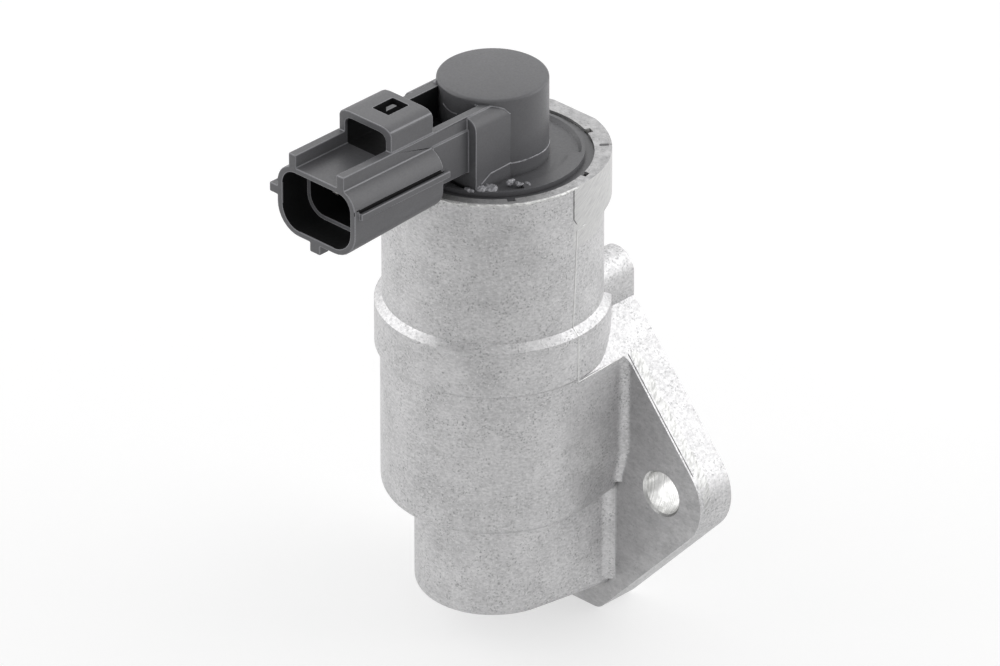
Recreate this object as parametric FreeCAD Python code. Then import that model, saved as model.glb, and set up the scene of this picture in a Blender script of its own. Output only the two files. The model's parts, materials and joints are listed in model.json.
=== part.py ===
import FreeCAD, Part
import math
import os

V = FreeCAD.Vector

# Idle air control valve: a die-cast body with a two-bolt flange, a solenoid in its tube,
# and a sprung plunger that lifts a poppet head off a seat between two air ports.
# Millimetres. The pieces are drawn about the valve axis, with heights counted from the
# underside of the body, and are moved at the end so that the origin is the centre of the
# two bolt holes on the mating face. X runs along the flange, +Y out of the mating face.

# Body, from the bottom cup up to the tube
BOTTOM_R = 12.4
BOTTOM_EDGE_R = 1.6
BOTTOM_TOP = 17.6
LOWER_R = 17.7
LOWER_EDGE_R = 2.4
COLLAR_LOW = 43.3
COLLAR_HEIGHT = 8.2
COLLAR_R = 18.6
COLLAR_EDGE_R = 0.8
COLLAR_LEDGE = 1.1
TUBE_R = 17.4

# Staked rim, which stands out towards the flange
RIM_HEIGHT = 7.7
RIM_SHIFT = 1.5
RIM_SEAM_GROWTH = 0.1
RIM_SLOPE_DEPTH = 3.2
LIP_THICK = 1.1
LIP_OVERHANG = 0.65
NOTCH_COUNT = 7
NOTCH_PHASE = 15.6
NOTCH_WIDTH = 1.3
NOTCH_DEPTH = 0.9
SLIT_ANGLE = 49.8
SLIT_WIDTH = 0.35
SLIT_DEPTH = 0.6
SLIT_INSET = 0.85

# Flange
FLANGE_FRONT = 11.4
MATING_FACE = 18.5
BOLT_X = 25.75
BOLT_HEIGHT = 21.25
BOLT_HOLE_R = 3.6
BOLT_HOLE_CHAMFER = 0.35
EAR_R = 8.45
FLANGE_LOW = -5.1
FLANGE_LOW_CORNER_X = 11.4
FLANGE_LOW_CORNER_R = 2.6
SHOULDER_HEIGHT = 6.3
FLANGE_TOP_CORNER_X = 12.0
FLANGE_TOP_CORNER_R = 1.5
LUG_X = 9.35
LUG_R = 3.6
LUG_RISE = 3.6

# Passages from the drums to the flange
BLOCK_DRAW_IN = 2.0
BLOCK_CREASE = 26.5
BLOCK_CREASE_DROP = 5.5
CUP_FLARE = 2.9
JUNCTION_FILLET = 1.6

# Ports and chambers
LOWER_PORT_HALF = 8.2
LOWER_PORT_LOW = 4.0
LOWER_PORT_HEIGHT = 11.4
UPPER_PORT_HALF = 11.5
UPPER_PORT_HEIGHT = 16.5
PORT_CORNER_R = 3.0
CUP_WALL = 3.0
LOWER_WALL = 4.5
SEAT_SHELF_THICK = 4.6

# Face seal and its groove
SEAL_LAND = 2.6
GROOVE_WIDTH = 2.4
GROOVE_DEPTH = 1.6
SEAL_SIDE_GAP = 0.1
SEAL_SINK = 0.1

# Solenoid
SOLENOID_RISE = 2.7
SOLENOID_WALL = 2.0
SOLENOID_GAP = 0.05
LOWER_PLATE_THICK = 3.0
UPPER_PLATE_THICK = 1.6
CAN_LENGTH = 22.0
CAN_WALL = 1.5
SLEEVE_WALL = 0.8
CORE_R = 5.1
CORE_INSET = 2.4
CORE_SHAFT_GAP = 0.3
BOBBIN_WALL = 1.0
BOBBIN_FLANGE = 1.3
BOBBIN_END_GAP = 0.2
BOBBIN_SIDE_GAP = 0.5
WINDING_SIDE_GAP = 0.6
PLATE_BOSS_R = 4.4
PLATE_BOSS_LENGTH = 7.0

# Plunger
STROKE = 3.0
STOP_GAP = 0.2
ARMATURE_GAP = 0.06
ARMATURE_LENGTH = 13.0
STOP_WASHER_THICK = 0.4
SHAFT_R = 1.5
SHAFT_TIP = 0.4
SHAFT_TAIL = 3.0
SHAFT_HEADROOM = 2.0
BUSH_R = 3.0
BUSH_LENGTH = 6.0
BUSH_GAP = 0.03
HEAD_THICK = 2.0
HEAD_RIM = 0.4
HEAD_HUB_R = 3.3
HEAD_HUB_LENGTH = 3.6
PINTLE_CLEARANCE = 0.9
PINTLE_TIP_R = 3.4
PINTLE_LENGTH = 3.4
FACING_OVERLAP = 2.0
FACING_THICK = 1.2
SEAT_GAP = 0.1
SEAT_BORE_R = 6.2
SEAT_RING_WIDTH = 3.0
SEAT_RING_HEIGHT = 3.0
SEAT_RING_CHAMFER = 0.5
SEAT_HOLE_RELIEF = 0.8
CLIP_R = 3.2
CLIP_THICK = 0.6
CLIP_GROOVE = 0.35
CLIP_GAP = 0.1
CLIP_OPENING = 1.6

# Return spring
SPRING_R = 5.4
SPRING_WIRE_R = 0.45
SPRING_TURNS = 7
SPRING_CUP_THICK = 0.6
SPRING_CUP_RIM = 1.6
SPRING_END_GAP = 0.05

# Cap disc and the stub over the core
CAP_FLANGE_THICK = 3.8
CAP_WALL = 0.9
CAP_GAP = 0.05
CAP_DISC_SINK = 0.5
CAP_STEP_INSET = 1.45
CAP_STEP_RISE = 0.9
CAP_RIDGE_INSET = 0.8
CAP_RIDGE_HALF = 0.25
CAP_PLATE_DROP = 0.3
CAP_STUB_R = 8.8
CAP_STUB_RISE = 13.6
CAP_CROWN_THICK = 7.1
CAP_DOME = 0.35
CAP_EDGE_R = 0.5
LAND_WIDTH = 2.4
LAND_START = -25.0
LAND_SWEEP = 63.0

# Connector socket: its mouth along -Y from the valve axis, its middle above the rim
MOUTH = 39.0
CONNECTOR_RISE = 4.5
SHELL_LENGTH = 20.3
SHELL_HALF = 8.8
SHELL_HEIGHT = 12.0
SHELL_CORNER_R = 3.6
SOCKET_WALL_SIDE = 1.6
SOCKET_WALL_END = 0.95
SOCKET_CORNER_R = 2.8
SOCKET_STEP = 1.0
SOCKET_STEP_DEPTH = 5.4
SOCKET_DEPTH = 17.0

# Latch rails, bridge and window
RAIL_OUT = 6.2
RAIL_THICK = 1.7
RAIL_RISE = 2.2
BRIDGE_SETBACK = 10.8
BRIDGE_LENGTH = 9.2
BRIDGE_RISE = 6.1
BRIDGE_INSET = 0.3
BRIDGE_BEVEL_RUN = 2.1
BRIDGE_BEVEL_DROP = 1.0
BRIDGE_WALL = 1.2
WINDOW_HALF = 1.7
WINDOW_SETBACK = 3.4
WINDOW_LENGTH = 4.4

# Side strips and keys of the socket
STRIP_PROUD = 0.5
STRIP_RISE = 1.5
STRIP_HEIGHT = 0.8
STRIP_FRONT_SETBACK = 1.0
STRIP_TAIL = 1.1
SIDE_GROOVE = 0.45
SIDE_GROOVE_HEIGHT = 0.7
KEY_DEPTH = 2.4
SIDE_KEY_PROUD = 2.4
SIDE_KEY_RISE = 1.4
SIDE_KEY_HEIGHT = 1.8
FOOT_KEY_LEFT = -1.4
FOOT_KEY_WIDTH = 3.5
FOOT_KEY_DROP = 1.6

# Neck and shoulder block between the socket and the stub
NECK_HALF = 6.0
NECK_DROP = 1.1
BLOCK_FRONT = 11.8
SHOULDER_HALF = 7.8
SHOULDER_RISE = 2.0
SHOULDER_EDGE_R = 1.9
POCKET_DEPTH = 3.4

# Terminals
BLADE_X = 2.4
BLADE_WIDTH = 2.3
BLADE_THICK = 0.64
BLADE_SETBACK = 6.5
BLADE_TAPER = 0.8
BLADE_TIP_WIDTH = 1.15
BLADE_LEG_OFFSET = 1.0
PLATE_SLOT_GAP = 0.7

# O-rings
CAP_RING_WIRE_R = 0.72
PLATE_RING_WIRE_R = 0.62
RING_GROOVE_GAP = 0.08

# How far a cutter runs past the face it cuts, and how near an edge lies to a level it is on
OVERRUN = 1.0
TOUCH = 0.01

# Heights worked out from the sizes above, from the bottom up
lower_port_top = LOWER_PORT_LOW + LOWER_PORT_HEIGHT
upper_port_low = lower_port_top + 2 * SEAL_LAND + GROOVE_WIDTH
upper_port_top = upper_port_low + UPPER_PORT_HEIGHT
seat_shelf = lower_port_top + SEAT_SHELF_THICK
seat_ring_low = seat_shelf - SEAT_RING_HEIGHT
facing_low = seat_shelf + SEAT_GAP
head_low = facing_low + FACING_THICK
head_top = head_low + HEAD_THICK
pintle_low = head_low - PINTLE_LENGTH
clip_top = pintle_low - CLIP_GAP
clip_low = clip_top - CLIP_THICK
shaft_low = clip_low - SHAFT_TAIL
collar_top = COLLAR_LOW + COLLAR_HEIGHT
flange_top = COLLAR_LOW + SHOULDER_HEIGHT
solenoid_shelf = COLLAR_LOW + SOLENOID_RISE
can_low = solenoid_shelf + LOWER_PLATE_THICK
can_top = can_low + CAN_LENGTH
bobbin_low = can_low + BOBBIN_END_GAP
bobbin_top = can_top - BOBBIN_END_GAP
core_low = can_top - CORE_INSET
armature_top = core_low - STROKE - STOP_GAP - STOP_WASHER_THICK
cap_floor = can_top + UPPER_PLATE_THICK
cap_lip_low = cap_floor + CAP_FLANGE_THICK
rim_top = cap_lip_low + LIP_THICK
rim_step = rim_top - RIM_HEIGHT
disc_top = rim_top - CAP_DISC_SINK
step_top = disc_top + CAP_STEP_RISE
plate_top = step_top - CAP_PLATE_DROP
stub_top = rim_top + CAP_STUB_RISE
core_top = stub_top - CAP_CROWN_THICK
upper_bush_low = core_top - BUSH_LENGTH - STROKE
shaft_top = core_top - STROKE - SHAFT_HEADROOM
lower_bush_low = solenoid_shelf - PLATE_BOSS_LENGTH
connector_axis = rim_top + CONNECTOR_RISE
shell_low = connector_axis - SHELL_HEIGHT / 2
shell_top = connector_axis + SHELL_HEIGHT / 2
strip_top = connector_axis + STRIP_RISE
rail_top = shell_top + RAIL_RISE
bridge_top = shell_top + BRIDGE_RISE
cap_ring_height = (cap_floor + cap_lip_low) / 2
plate_ring_height = (solenoid_shelf + can_low) / 2

# Radii and distances worked out from the sizes above
upper_chamber_r = LOWER_R - LOWER_WALL
lower_chamber_r = BOTTOM_R - CUP_WALL
seat_ring_r = SEAT_BORE_R + SEAT_RING_WIDTH
seat_hole_r = SEAT_BORE_R + SEAT_HOLE_RELIEF
pintle_r = SEAT_BORE_R - PINTLE_CLEARANCE
facing_r = SEAT_BORE_R + FACING_OVERLAP
head_r = facing_r + HEAD_RIM
solenoid_bore_r = TUBE_R - SOLENOID_WALL
can_r = solenoid_bore_r - SOLENOID_GAP
sleeve_r = CORE_R + SLEEVE_WALL
bobbin_bore_r = sleeve_r + SOLENOID_GAP
bobbin_tube_r = bobbin_bore_r + BOBBIN_WALL
bobbin_r = can_r - CAN_WALL - BOBBIN_SIDE_GAP
cap_bore_r = TUBE_R - CAP_WALL
lip_r = cap_bore_r - LIP_OVERHANG
cap_r = cap_bore_r - CAP_GAP
step_r = lip_r - CAP_STEP_INSET
ridge_r = step_r - CAP_RIDGE_INSET
rim_r = math.hypot(TUBE_R + RIM_SEAM_GROWTH, RIM_SHIFT)
rail_in = RAIL_OUT - RAIL_THICK
bridge_half = RAIL_OUT - BRIDGE_INSET
shell_rear = MOUTH - SHELL_LENGTH
bridge_front = MOUTH - BRIDGE_SETBACK
bridge_rear = bridge_front - BRIDGE_LENGTH
blade_leg_y = -CAP_STUB_R - BLADE_LEG_OFFSET
blade_tip_y = BLADE_SETBACK - MOUTH


def turned(outline):
    """A solid turned about the valve axis from (radius, height) points of half its section."""
    points = [V(radius, 0, height) for radius, height in outline]
    face = Part.Face(Part.makePolygon(points + points[:1]))
    return face.revolve(V(0, 0, 0), V(0, 0, 1), 360)


def ring(inner, outer, low, high):
    """A plain round ring, or a disc where the inner radius is nothing."""
    solid = Part.makeCylinder(outer, high - low, V(0, 0, low))
    if inner > 0:
        solid = solid.cut(Part.makeCylinder(inner, high - low, V(0, 0, low)))
    return solid


def turned_sector(radius, low, high, start, sweep):
    """A pie slice about the valve axis."""
    pie = Part.makeCylinder(radius, high - low, V(0, 0, low), V(0, 0, 1), sweep)
    pie.rotate(V(0, 0, 0), V(0, 0, 1), start)
    return pie


def box(left, right, front, back, low, high):
    """A block between two X, two Y and two height values."""
    return Part.makeBox(right - left, back - front, high - low, V(left, front, low))


def hull_wire(circles, y):
    """The outline around circles given as (x, height, radius), counter-clockwise, upright at y."""
    touches = []
    for i, (x1, h1, r1) in enumerate(circles):
        x2, h2, r2 = circles[(i + 1) % len(circles)]
        length = math.hypot(x2 - x1, h2 - h1)
        along = V((x2 - x1) / length, 0, (h2 - h1) / length)
        lean = (r1 - r2) / length
        out = along * lean + V(along.z, 0, -along.x) * math.sqrt(1 - lean * lean)
        touches.append((V(x1, y, h1) + out * r1, V(x2, y, h2) + out * r2, out))
    edges = []
    for i, (start, end, out) in enumerate(touches):
        following = touches[(i + 1) % len(touches)]
        x, h, r = circles[(i + 1) % len(circles)]
        middle = V(x, y, h) + (out + following[2]).normalize() * r
        edges.append(Part.LineSegment(start, end).toShape())
        edges.append(Part.Arc(end, middle, following[0]).toShape())
    return Part.Wire(edges)


def rounded_wire(half, low, high, radius, y):
    """A rectangle with round corners, upright at y."""
    corners = [(side * (half - radius), level, radius)
               for side, level in ((1, low + radius), (1, high - radius),
                                   (-1, high - radius), (-1, low + radius))]
    return hull_wire(corners, y)


def rounded_block(half, low, high, radius, front, back):
    """A rounded rectangle carried along Y."""
    return Part.Face(rounded_wire(half, low, high, radius, front)).extrude(V(0, back - front, 0))


def mirrored(solid):
    """The same solid on the other side of the valve's middle plane."""
    return solid.mirror(V(0, 0, 0), V(1, 0, 0))


def flange_wire(y):
    """The outline of the flange: two bolt ears, slanted edges and level ends."""
    low = (FLANGE_LOW_CORNER_X, FLANGE_LOW + FLANGE_LOW_CORNER_R, FLANGE_LOW_CORNER_R)
    ear = (BOLT_X, BOLT_HEIGHT, EAR_R)
    top = (FLANGE_TOP_CORNER_X, flange_top - FLANGE_TOP_CORNER_R, FLANGE_TOP_CORNER_R)
    right = [low, ear, top]
    left = [(-x, h, r) for x, h, r in reversed(right)]
    return hull_wire(right + left, y)


def flange_prism(front, back):
    """The flange outline carried along Y."""
    return Part.Face(flange_wire(front)).extrude(V(0, back - front, 0))


def passage_side(drum_r, half_far):
    """Where a passage leaves its round drum on a tangent, and where it ends inside the flange."""
    root_y = (FLANGE_FRONT + MATING_FACE) / 2
    reach = math.hypot(half_far, root_y)
    leave = math.atan2(root_y, half_far) - math.acos(min(1, drum_r / reach))
    return (drum_r * math.cos(leave), drum_r * math.sin(leave)), (half_far, root_y)


def side_at(drum_r, half_far, y):
    """How far out the side of a passage lies at a given distance towards the flange."""
    (x1, y1), (x2, y2) = passage_side(drum_r, half_far)
    return x1 + (x2 - x1) * (y - y1) / (y2 - y1)


def plan_wire(drum_r, half_far, height):
    """A round drum and its passage seen from above."""
    (x1, y1), (x2, y2) = passage_side(drum_r, half_far)
    path = [V(x1, y1, height), V(x2, y2, height), V(-x2, y2, height), V(-x1, y1, height)]
    edges = [Part.LineSegment(start, end).toShape() for start, end in zip(path, path[1:])]
    edges.append(Part.Arc(path[3], V(0, -drum_r, height), path[0]).toShape())
    return Part.Wire(edges)


def drum(drum_r, half_far, edge_r, low, high):
    """A drum and its passage as one upright form with a rounded lower edge."""
    solid = Part.Face(plan_wire(drum_r, half_far, low)).extrude(V(0, 0, high - low))
    lower_edges = [e for e in solid.Edges
                   if e.BoundBox.ZMax < low + TOUCH and e.BoundBox.YMin < FLANGE_FRONT]
    return solid.makeFillet(edge_r, lower_edges)


def junctions(levels):
    """The fillets where a passage meets the flange, from (drum radius, half width, height)."""
    sections = []
    front = FLANGE_FRONT - JUNCTION_FILLET
    back = FLANGE_FRONT + JUNCTION_FILLET
    for drum_r, half_far, height in levels:
        near = V(side_at(drum_r, half_far, front), front, height)
        far = V(side_at(drum_r, half_far, FLANGE_FRONT) + JUNCTION_FILLET, FLANGE_FRONT, height)
        hollow = V(far.x, front, height) + V(-1, 1, 0).normalize() * JUNCTION_FILLET
        inside = far.x - 2 * JUNCTION_FILLET
        corners = [far, V(far.x, back, height), V(inside, back, height), V(inside, front, height), near]
        edges = [Part.Arc(near, hollow, far).toShape()]
        for start, end in zip(corners, corners[1:]):
            edges.append(Part.LineSegment(start, end).toShape())
        sections.append(Part.Wire(edges))
    right = Part.makeLoft(sections, True, True)
    return right, mirrored(right)


def bottom_cup():
    """The lowest drum, with the lower passage."""
    far = BOTTOM_R + CUP_FLARE
    top = BOTTOM_TOP + LOWER_EDGE_R
    solid = drum(BOTTOM_R, far, BOTTOM_EDGE_R, 0, top)
    for fillet in junctions([(BOTTOM_R, far, BOTTOM_EDGE_R), (BOTTOM_R, far, top)]):
        solid = solid.fuse(fillet)
    return solid


def lower_drum():
    """The drum under the collar, whose passage draws in below a soft crease."""
    crease_low = BLOCK_CREASE - BLOCK_CREASE_DROP
    far = LOWER_R - BLOCK_DRAW_IN
    solid = drum(LOWER_R, far, LOWER_EDGE_R, BOTTOM_TOP, crease_low)
    crease = Part.makeLoft([plan_wire(LOWER_R, far, crease_low),
                            plan_wire(LOWER_R, LOWER_R, BLOCK_CREASE)], True, True)
    high_face = Part.Face(plan_wire(LOWER_R, LOWER_R, BLOCK_CREASE))
    high = high_face.extrude(V(0, 0, COLLAR_LOW - BLOCK_CREASE))
    right, left = junctions([(LOWER_R, far, BOTTOM_TOP + LOWER_EDGE_R), (LOWER_R, far, crease_low),
                             (LOWER_R, LOWER_R, BLOCK_CREASE), (LOWER_R, LOWER_R, COLLAR_LOW)])
    for piece in (crease, high, right, left):
        solid = solid.fuse(piece)
    return solid.common(flange_prism(-COLLAR_R, MATING_FACE))


def upper_tube():
    """The collar, the tube and the staked rim, which stands out towards the flange."""
    collar = ring(0, COLLAR_R, COLLAR_LOW, collar_top)
    collar = collar.makeFillet(COLLAR_EDGE_R,
                               [e for e in collar.Edges if e.BoundBox.ZMax < COLLAR_LOW + TOUCH])
    ledge = Part.makeCone(COLLAR_R, TUBE_R, COLLAR_LEDGE, V(0, 0, collar_top))
    tube = ring(0, TUBE_R, collar_top, rim_top)
    rim = Part.makeCylinder(rim_r, rim_top - rim_step, V(0, RIM_SHIFT, rim_step))
    slope = Part.makeCone(rim_r - RIM_SHIFT - RIM_SEAM_GROWTH, rim_r, RIM_SLOPE_DEPTH,
                          V(0, RIM_SHIFT, rim_step - RIM_SLOPE_DEPTH))
    return collar.fuse(ledge).fuse(tube).fuse(rim).fuse(slope)


def shoulder():
    """The flange outline carried forward over the collar, above the block, with two lugs."""
    upper = flange_prism(0, MATING_FACE).common(box(-BOLT_X, BOLT_X, 0, MATING_FACE,
                                                    COLLAR_LOW, flange_top))
    lug_height = flange_top + LUG_RISE
    for side in (-1, 1):
        crown = Part.makeCylinder(LUG_R, MATING_FACE, V(side * LUG_X, 0, lug_height), V(0, 1, 0))
        stem = box(side * LUG_X - LUG_R, side * LUG_X + LUG_R, 0, MATING_FACE,
                   flange_top - FLANGE_TOP_CORNER_R, lug_height)
        upper = upper.fuse(crown).fuse(stem)
    return upper


def bolt_hole(x):
    """A plain bolt hole with both edges broken."""
    depth = MATING_FACE - FLANGE_FRONT
    rim = BOLT_HOLE_CHAMFER
    outline = [(0, 0), (BOLT_HOLE_R + rim, 0), (BOLT_HOLE_R, rim), (BOLT_HOLE_R, depth - rim),
               (BOLT_HOLE_R + rim, depth), (0, depth)]
    hole = turned(outline)
    hole.rotate(V(0, 0, 0), V(1, 0, 0), -90)
    hole.translate(V(x, FLANGE_FRONT, BOLT_HEIGHT))
    return hole


def seal_loops(margin_in, margin_out, front, back):
    """The figure-of-eight band around both ports."""
    bands = []
    holes = []
    for half, low, high in ((UPPER_PORT_HALF, upper_port_low, upper_port_top),
                            (LOWER_PORT_HALF, LOWER_PORT_LOW, lower_port_top)):
        for margin, group in ((margin_out, bands), (margin_in, holes)):
            group.append(rounded_block(half + margin, low - margin, high + margin,
                                       PORT_CORNER_R + margin, front, back))
    band = bands[0].fuse(bands[1])
    return band.cut(holes[0]).cut(holes[1])


def rim_marks():
    """The notches left by staking the rim, and one narrow slit."""
    marks = []
    for i in range(NOTCH_COUNT):
        notch = box(0, lip_r + NOTCH_DEPTH, -NOTCH_WIDTH / 2, NOTCH_WIDTH / 2,
                    cap_lip_low, rim_top + OVERRUN)
        notch.rotate(V(0, 0, 0), V(0, 0, 1), NOTCH_PHASE + i * 360 / NOTCH_COUNT)
        marks.append(notch)
    slit = box(lip_r + SLIT_INSET, COLLAR_R + RIM_SHIFT, -SLIT_WIDTH / 2, SLIT_WIDTH / 2,
               rim_top - SLIT_DEPTH, rim_top + OVERRUN)
    slit.rotate(V(0, 0, 0), V(0, 0, 1), SLIT_ANGLE)
    marks.append(slit)
    return marks


def valve_housing():
    """The die-cast body, bored from the top and open at its mating face, which is milled flat
    up to the rim."""
    solid = bottom_cup()
    for piece in (lower_drum(), upper_tube(), flange_prism(FLANGE_FRONT, MATING_FACE), shoulder()):
        solid = solid.fuse(piece)
    bores = [ring(0, lower_chamber_r, LOWER_PORT_LOW, lower_port_top),
             ring(0, seat_hole_r, lower_port_top, seat_shelf),
             ring(0, seat_ring_r, seat_ring_low, seat_shelf),
             ring(0, upper_chamber_r, seat_shelf, solenoid_shelf),
             ring(0, solenoid_bore_r, solenoid_shelf, cap_floor),
             ring(0, cap_bore_r, cap_floor, cap_lip_low),
             ring(0, lip_r, cap_lip_low, rim_top + OVERRUN),
             rounded_block(UPPER_PORT_HALF, upper_port_low, upper_port_top, PORT_CORNER_R,
                           0, MATING_FACE + OVERRUN),
             rounded_block(LOWER_PORT_HALF, LOWER_PORT_LOW, lower_port_top, PORT_CORNER_R,
                           0, MATING_FACE + OVERRUN),
             bolt_hole(BOLT_X), bolt_hole(-BOLT_X),
             seal_loops(SEAL_LAND, SEAL_LAND + GROOVE_WIDTH, MATING_FACE - GROOVE_DEPTH,
                        MATING_FACE + OVERRUN)]
    milled = box(-COLLAR_R, COLLAR_R, MATING_FACE, MATING_FACE + COLLAR_R, COLLAR_LOW, stub_top)
    for cutter in bores + rim_marks() + [milled]:
        solid = solid.cut(cutter)
    return solid


def flange_seal():
    """The rubber seal pressed into the groove of the mating face."""
    return seal_loops(SEAL_LAND + SEAL_SIDE_GAP, SEAL_LAND + GROOVE_WIDTH - SEAL_SIDE_GAP,
                      MATING_FACE - GROOVE_DEPTH, MATING_FACE - SEAL_SINK)


def valve_seat():
    """The seat ring pressed into the shelf between the two chambers."""
    outline = [(SEAT_BORE_R, seat_ring_low), (seat_ring_r, seat_ring_low),
               (seat_ring_r, seat_shelf), (SEAT_BORE_R + SEAT_RING_CHAMFER, seat_shelf),
               (SEAT_BORE_R, seat_shelf - SEAT_RING_CHAMFER)]
    return turned(outline)


def ring_groove(outer_r, wire_r, height):
    """The groove that holds an O-ring in the edge of a disc."""
    half = wire_r + RING_GROOVE_GAP
    return ring(outer_r - 2 * half, outer_r + OVERRUN, height - half, height + half)


def o_ring(bore_r, wire_r, height):
    """An O-ring that just meets its bore."""
    return Part.makeTorus(bore_r - RING_GROOVE_GAP / 2 - wire_r, wire_r, V(0, 0, height))


def lower_pole_plate():
    """The steel plate under the coil, with the boss that guides the shaft."""
    outline = [(BUSH_R, lower_bush_low), (PLATE_BOSS_R, lower_bush_low),
               (PLATE_BOSS_R, solenoid_shelf), (can_r, solenoid_shelf),
               (can_r, can_low), (BUSH_R, can_low)]
    return turned(outline).cut(ring_groove(can_r, PLATE_RING_WIRE_R, plate_ring_height))


def upper_pole_plate():
    """The steel plate over the coil, notched where the terminals pass."""
    plate = ring(CORE_R, can_r, can_top, cap_floor)
    reach = BLADE_X + BLADE_WIDTH / 2 + PLATE_SLOT_GAP
    slot = box(-reach, reach, blade_leg_y - BLADE_THICK / 2 - PLATE_SLOT_GAP,
               blade_leg_y + BLADE_THICK / 2 + PLATE_SLOT_GAP, can_top, cap_floor)
    return plate.cut(slot)


def solenoid_can():
    """The steel tube around the coil."""
    return ring(can_r - CAN_WALL, can_r, can_low, can_top)


def guide_sleeve():
    """The thin tube that the armature slides in."""
    return ring(CORE_R, sleeve_r, can_low, can_top)


def fixed_core():
    """The core that pulls the armature up, bored for the shaft and its upper bush."""
    outline = [(SHAFT_R + CORE_SHAFT_GAP, core_low), (CORE_R, core_low), (CORE_R, core_top),
               (BUSH_R, core_top), (BUSH_R, upper_bush_low),
               (SHAFT_R + CORE_SHAFT_GAP, upper_bush_low)]
    return turned(outline)


def upper_bush():
    """The plain bearing for the top of the shaft."""
    return ring(SHAFT_R + BUSH_GAP, BUSH_R, upper_bush_low, upper_bush_low + BUSH_LENGTH)


def lower_bush():
    """The plain bearing in the boss of the lower pole plate."""
    return ring(SHAFT_R + BUSH_GAP, BUSH_R, lower_bush_low, lower_bush_low + BUSH_LENGTH)


def coil_bobbin():
    """The moulded bobbin with its two flanges."""
    outline = [(bobbin_bore_r, bobbin_low), (bobbin_r, bobbin_low),
               (bobbin_r, bobbin_low + BOBBIN_FLANGE), (bobbin_tube_r, bobbin_low + BOBBIN_FLANGE),
               (bobbin_tube_r, bobbin_top - BOBBIN_FLANGE), (bobbin_r, bobbin_top - BOBBIN_FLANGE),
               (bobbin_r, bobbin_top), (bobbin_bore_r, bobbin_top)]
    return turned(outline)


def coil_winding():
    """The copper winding as one closed turn of its outer shape."""
    return ring(bobbin_tube_r, bobbin_r - WINDING_SIDE_GAP, bobbin_low + BOBBIN_FLANGE,
                bobbin_top - BOBBIN_FLANGE)


def armature():
    """The steel plunger that the coil lifts."""
    return ring(SHAFT_R, CORE_R - ARMATURE_GAP, armature_top - ARMATURE_LENGTH, armature_top)


def stop_washer():
    """The brass washer that keeps the armature from sticking to the core."""
    return ring(SHAFT_R, CORE_R - ARMATURE_GAP - STOP_GAP, armature_top,
                armature_top + STOP_WASHER_THICK)


def valve_shaft():
    """The shaft with pointed ends and a groove for its clip."""
    neck = SHAFT_R - CLIP_GROOVE
    outline = [(0, shaft_low), (SHAFT_R - SHAFT_TIP, shaft_low), (SHAFT_R, shaft_low + SHAFT_TIP),
               (SHAFT_R, clip_low), (neck, clip_low), (neck, clip_top), (SHAFT_R, clip_top),
               (SHAFT_R, shaft_top - SHAFT_TIP), (SHAFT_R - SHAFT_TIP, shaft_top), (0, shaft_top)]
    return turned(outline)


def valve_head():
    """The turned head: a hub, a disc and a tapered pintle that meters the air."""
    outline = [(SHAFT_R, pintle_low), (PINTLE_TIP_R, pintle_low), (pintle_r, facing_low),
               (pintle_r, head_low), (head_r, head_low), (head_r, head_top),
               (HEAD_HUB_R, head_top), (HEAD_HUB_R, head_top + HEAD_HUB_LENGTH),
               (SHAFT_R, head_top + HEAD_HUB_LENGTH)]
    return turned(outline)


def head_facing():
    """The rubber ring under the head that closes on the seat."""
    return ring(pintle_r, facing_r, facing_low, head_low)


def shaft_clip():
    """The open clip in the shaft's groove, under the pintle."""
    clip = ring(SHAFT_R - CLIP_GROOVE, CLIP_R, clip_low, clip_top)
    gap = box(-CLIP_OPENING / 2, CLIP_OPENING / 2, -CLIP_R, 0, clip_low, clip_top)
    return clip.cut(gap)


def spring_cup():
    """The pressed cup that centres the return spring under the pole plate."""
    outer = SPRING_R + SPRING_WIRE_R + SPRING_CUP_THICK * 2
    inner = PLATE_BOSS_R + SPRING_END_GAP
    top = solenoid_shelf
    outline = [(inner, top), (outer, top), (outer, top - SPRING_CUP_RIM),
               (outer - SPRING_CUP_THICK, top - SPRING_CUP_RIM),
               (outer - SPRING_CUP_THICK, top - SPRING_CUP_THICK), (inner, top - SPRING_CUP_THICK)]
    return turned(outline)


def return_spring():
    """The coil spring between the cup and the valve head."""
    low = head_top + SPRING_END_GAP + SPRING_WIRE_R
    top = solenoid_shelf - SPRING_CUP_THICK - SPRING_END_GAP - SPRING_WIRE_R
    path = Part.makeHelix((top - low) / SPRING_TURNS, top - low, SPRING_R)
    path.translate(V(0, 0, low))
    section = Part.Wire(Part.makeCircle(SPRING_WIRE_R, V(SPRING_R, 0, low), V(0, 1, 0)))
    wire = path.makePipeShell([section], True, True)
    return wire


def terminal(side):
    """One bent blade, from the coil up through the disc and out into the socket."""
    half = BLADE_WIDTH / 2
    thick = BLADE_THICK / 2
    x = side * BLADE_X
    leg = box(x - half, x + half, blade_leg_y - thick, blade_leg_y + thick,
              bobbin_top, connector_axis + thick)
    low = connector_axis - thick
    taper_y = blade_tip_y + BLADE_TAPER
    tip_half = BLADE_TIP_WIDTH / 2
    blade = box(x - half, x + half, taper_y, blade_leg_y + thick, low, low + BLADE_THICK)
    tip_points = [V(x - half, taper_y, low), V(x + half, taper_y, low),
                  V(x + tip_half, blade_tip_y, low), V(x - tip_half, blade_tip_y, low)]
    tip = Part.Face(Part.makePolygon(tip_points + tip_points[:1])).extrude(V(0, 0, BLADE_THICK))
    return leg.fuse(blade).fuse(tip).removeSplitter()


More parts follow.
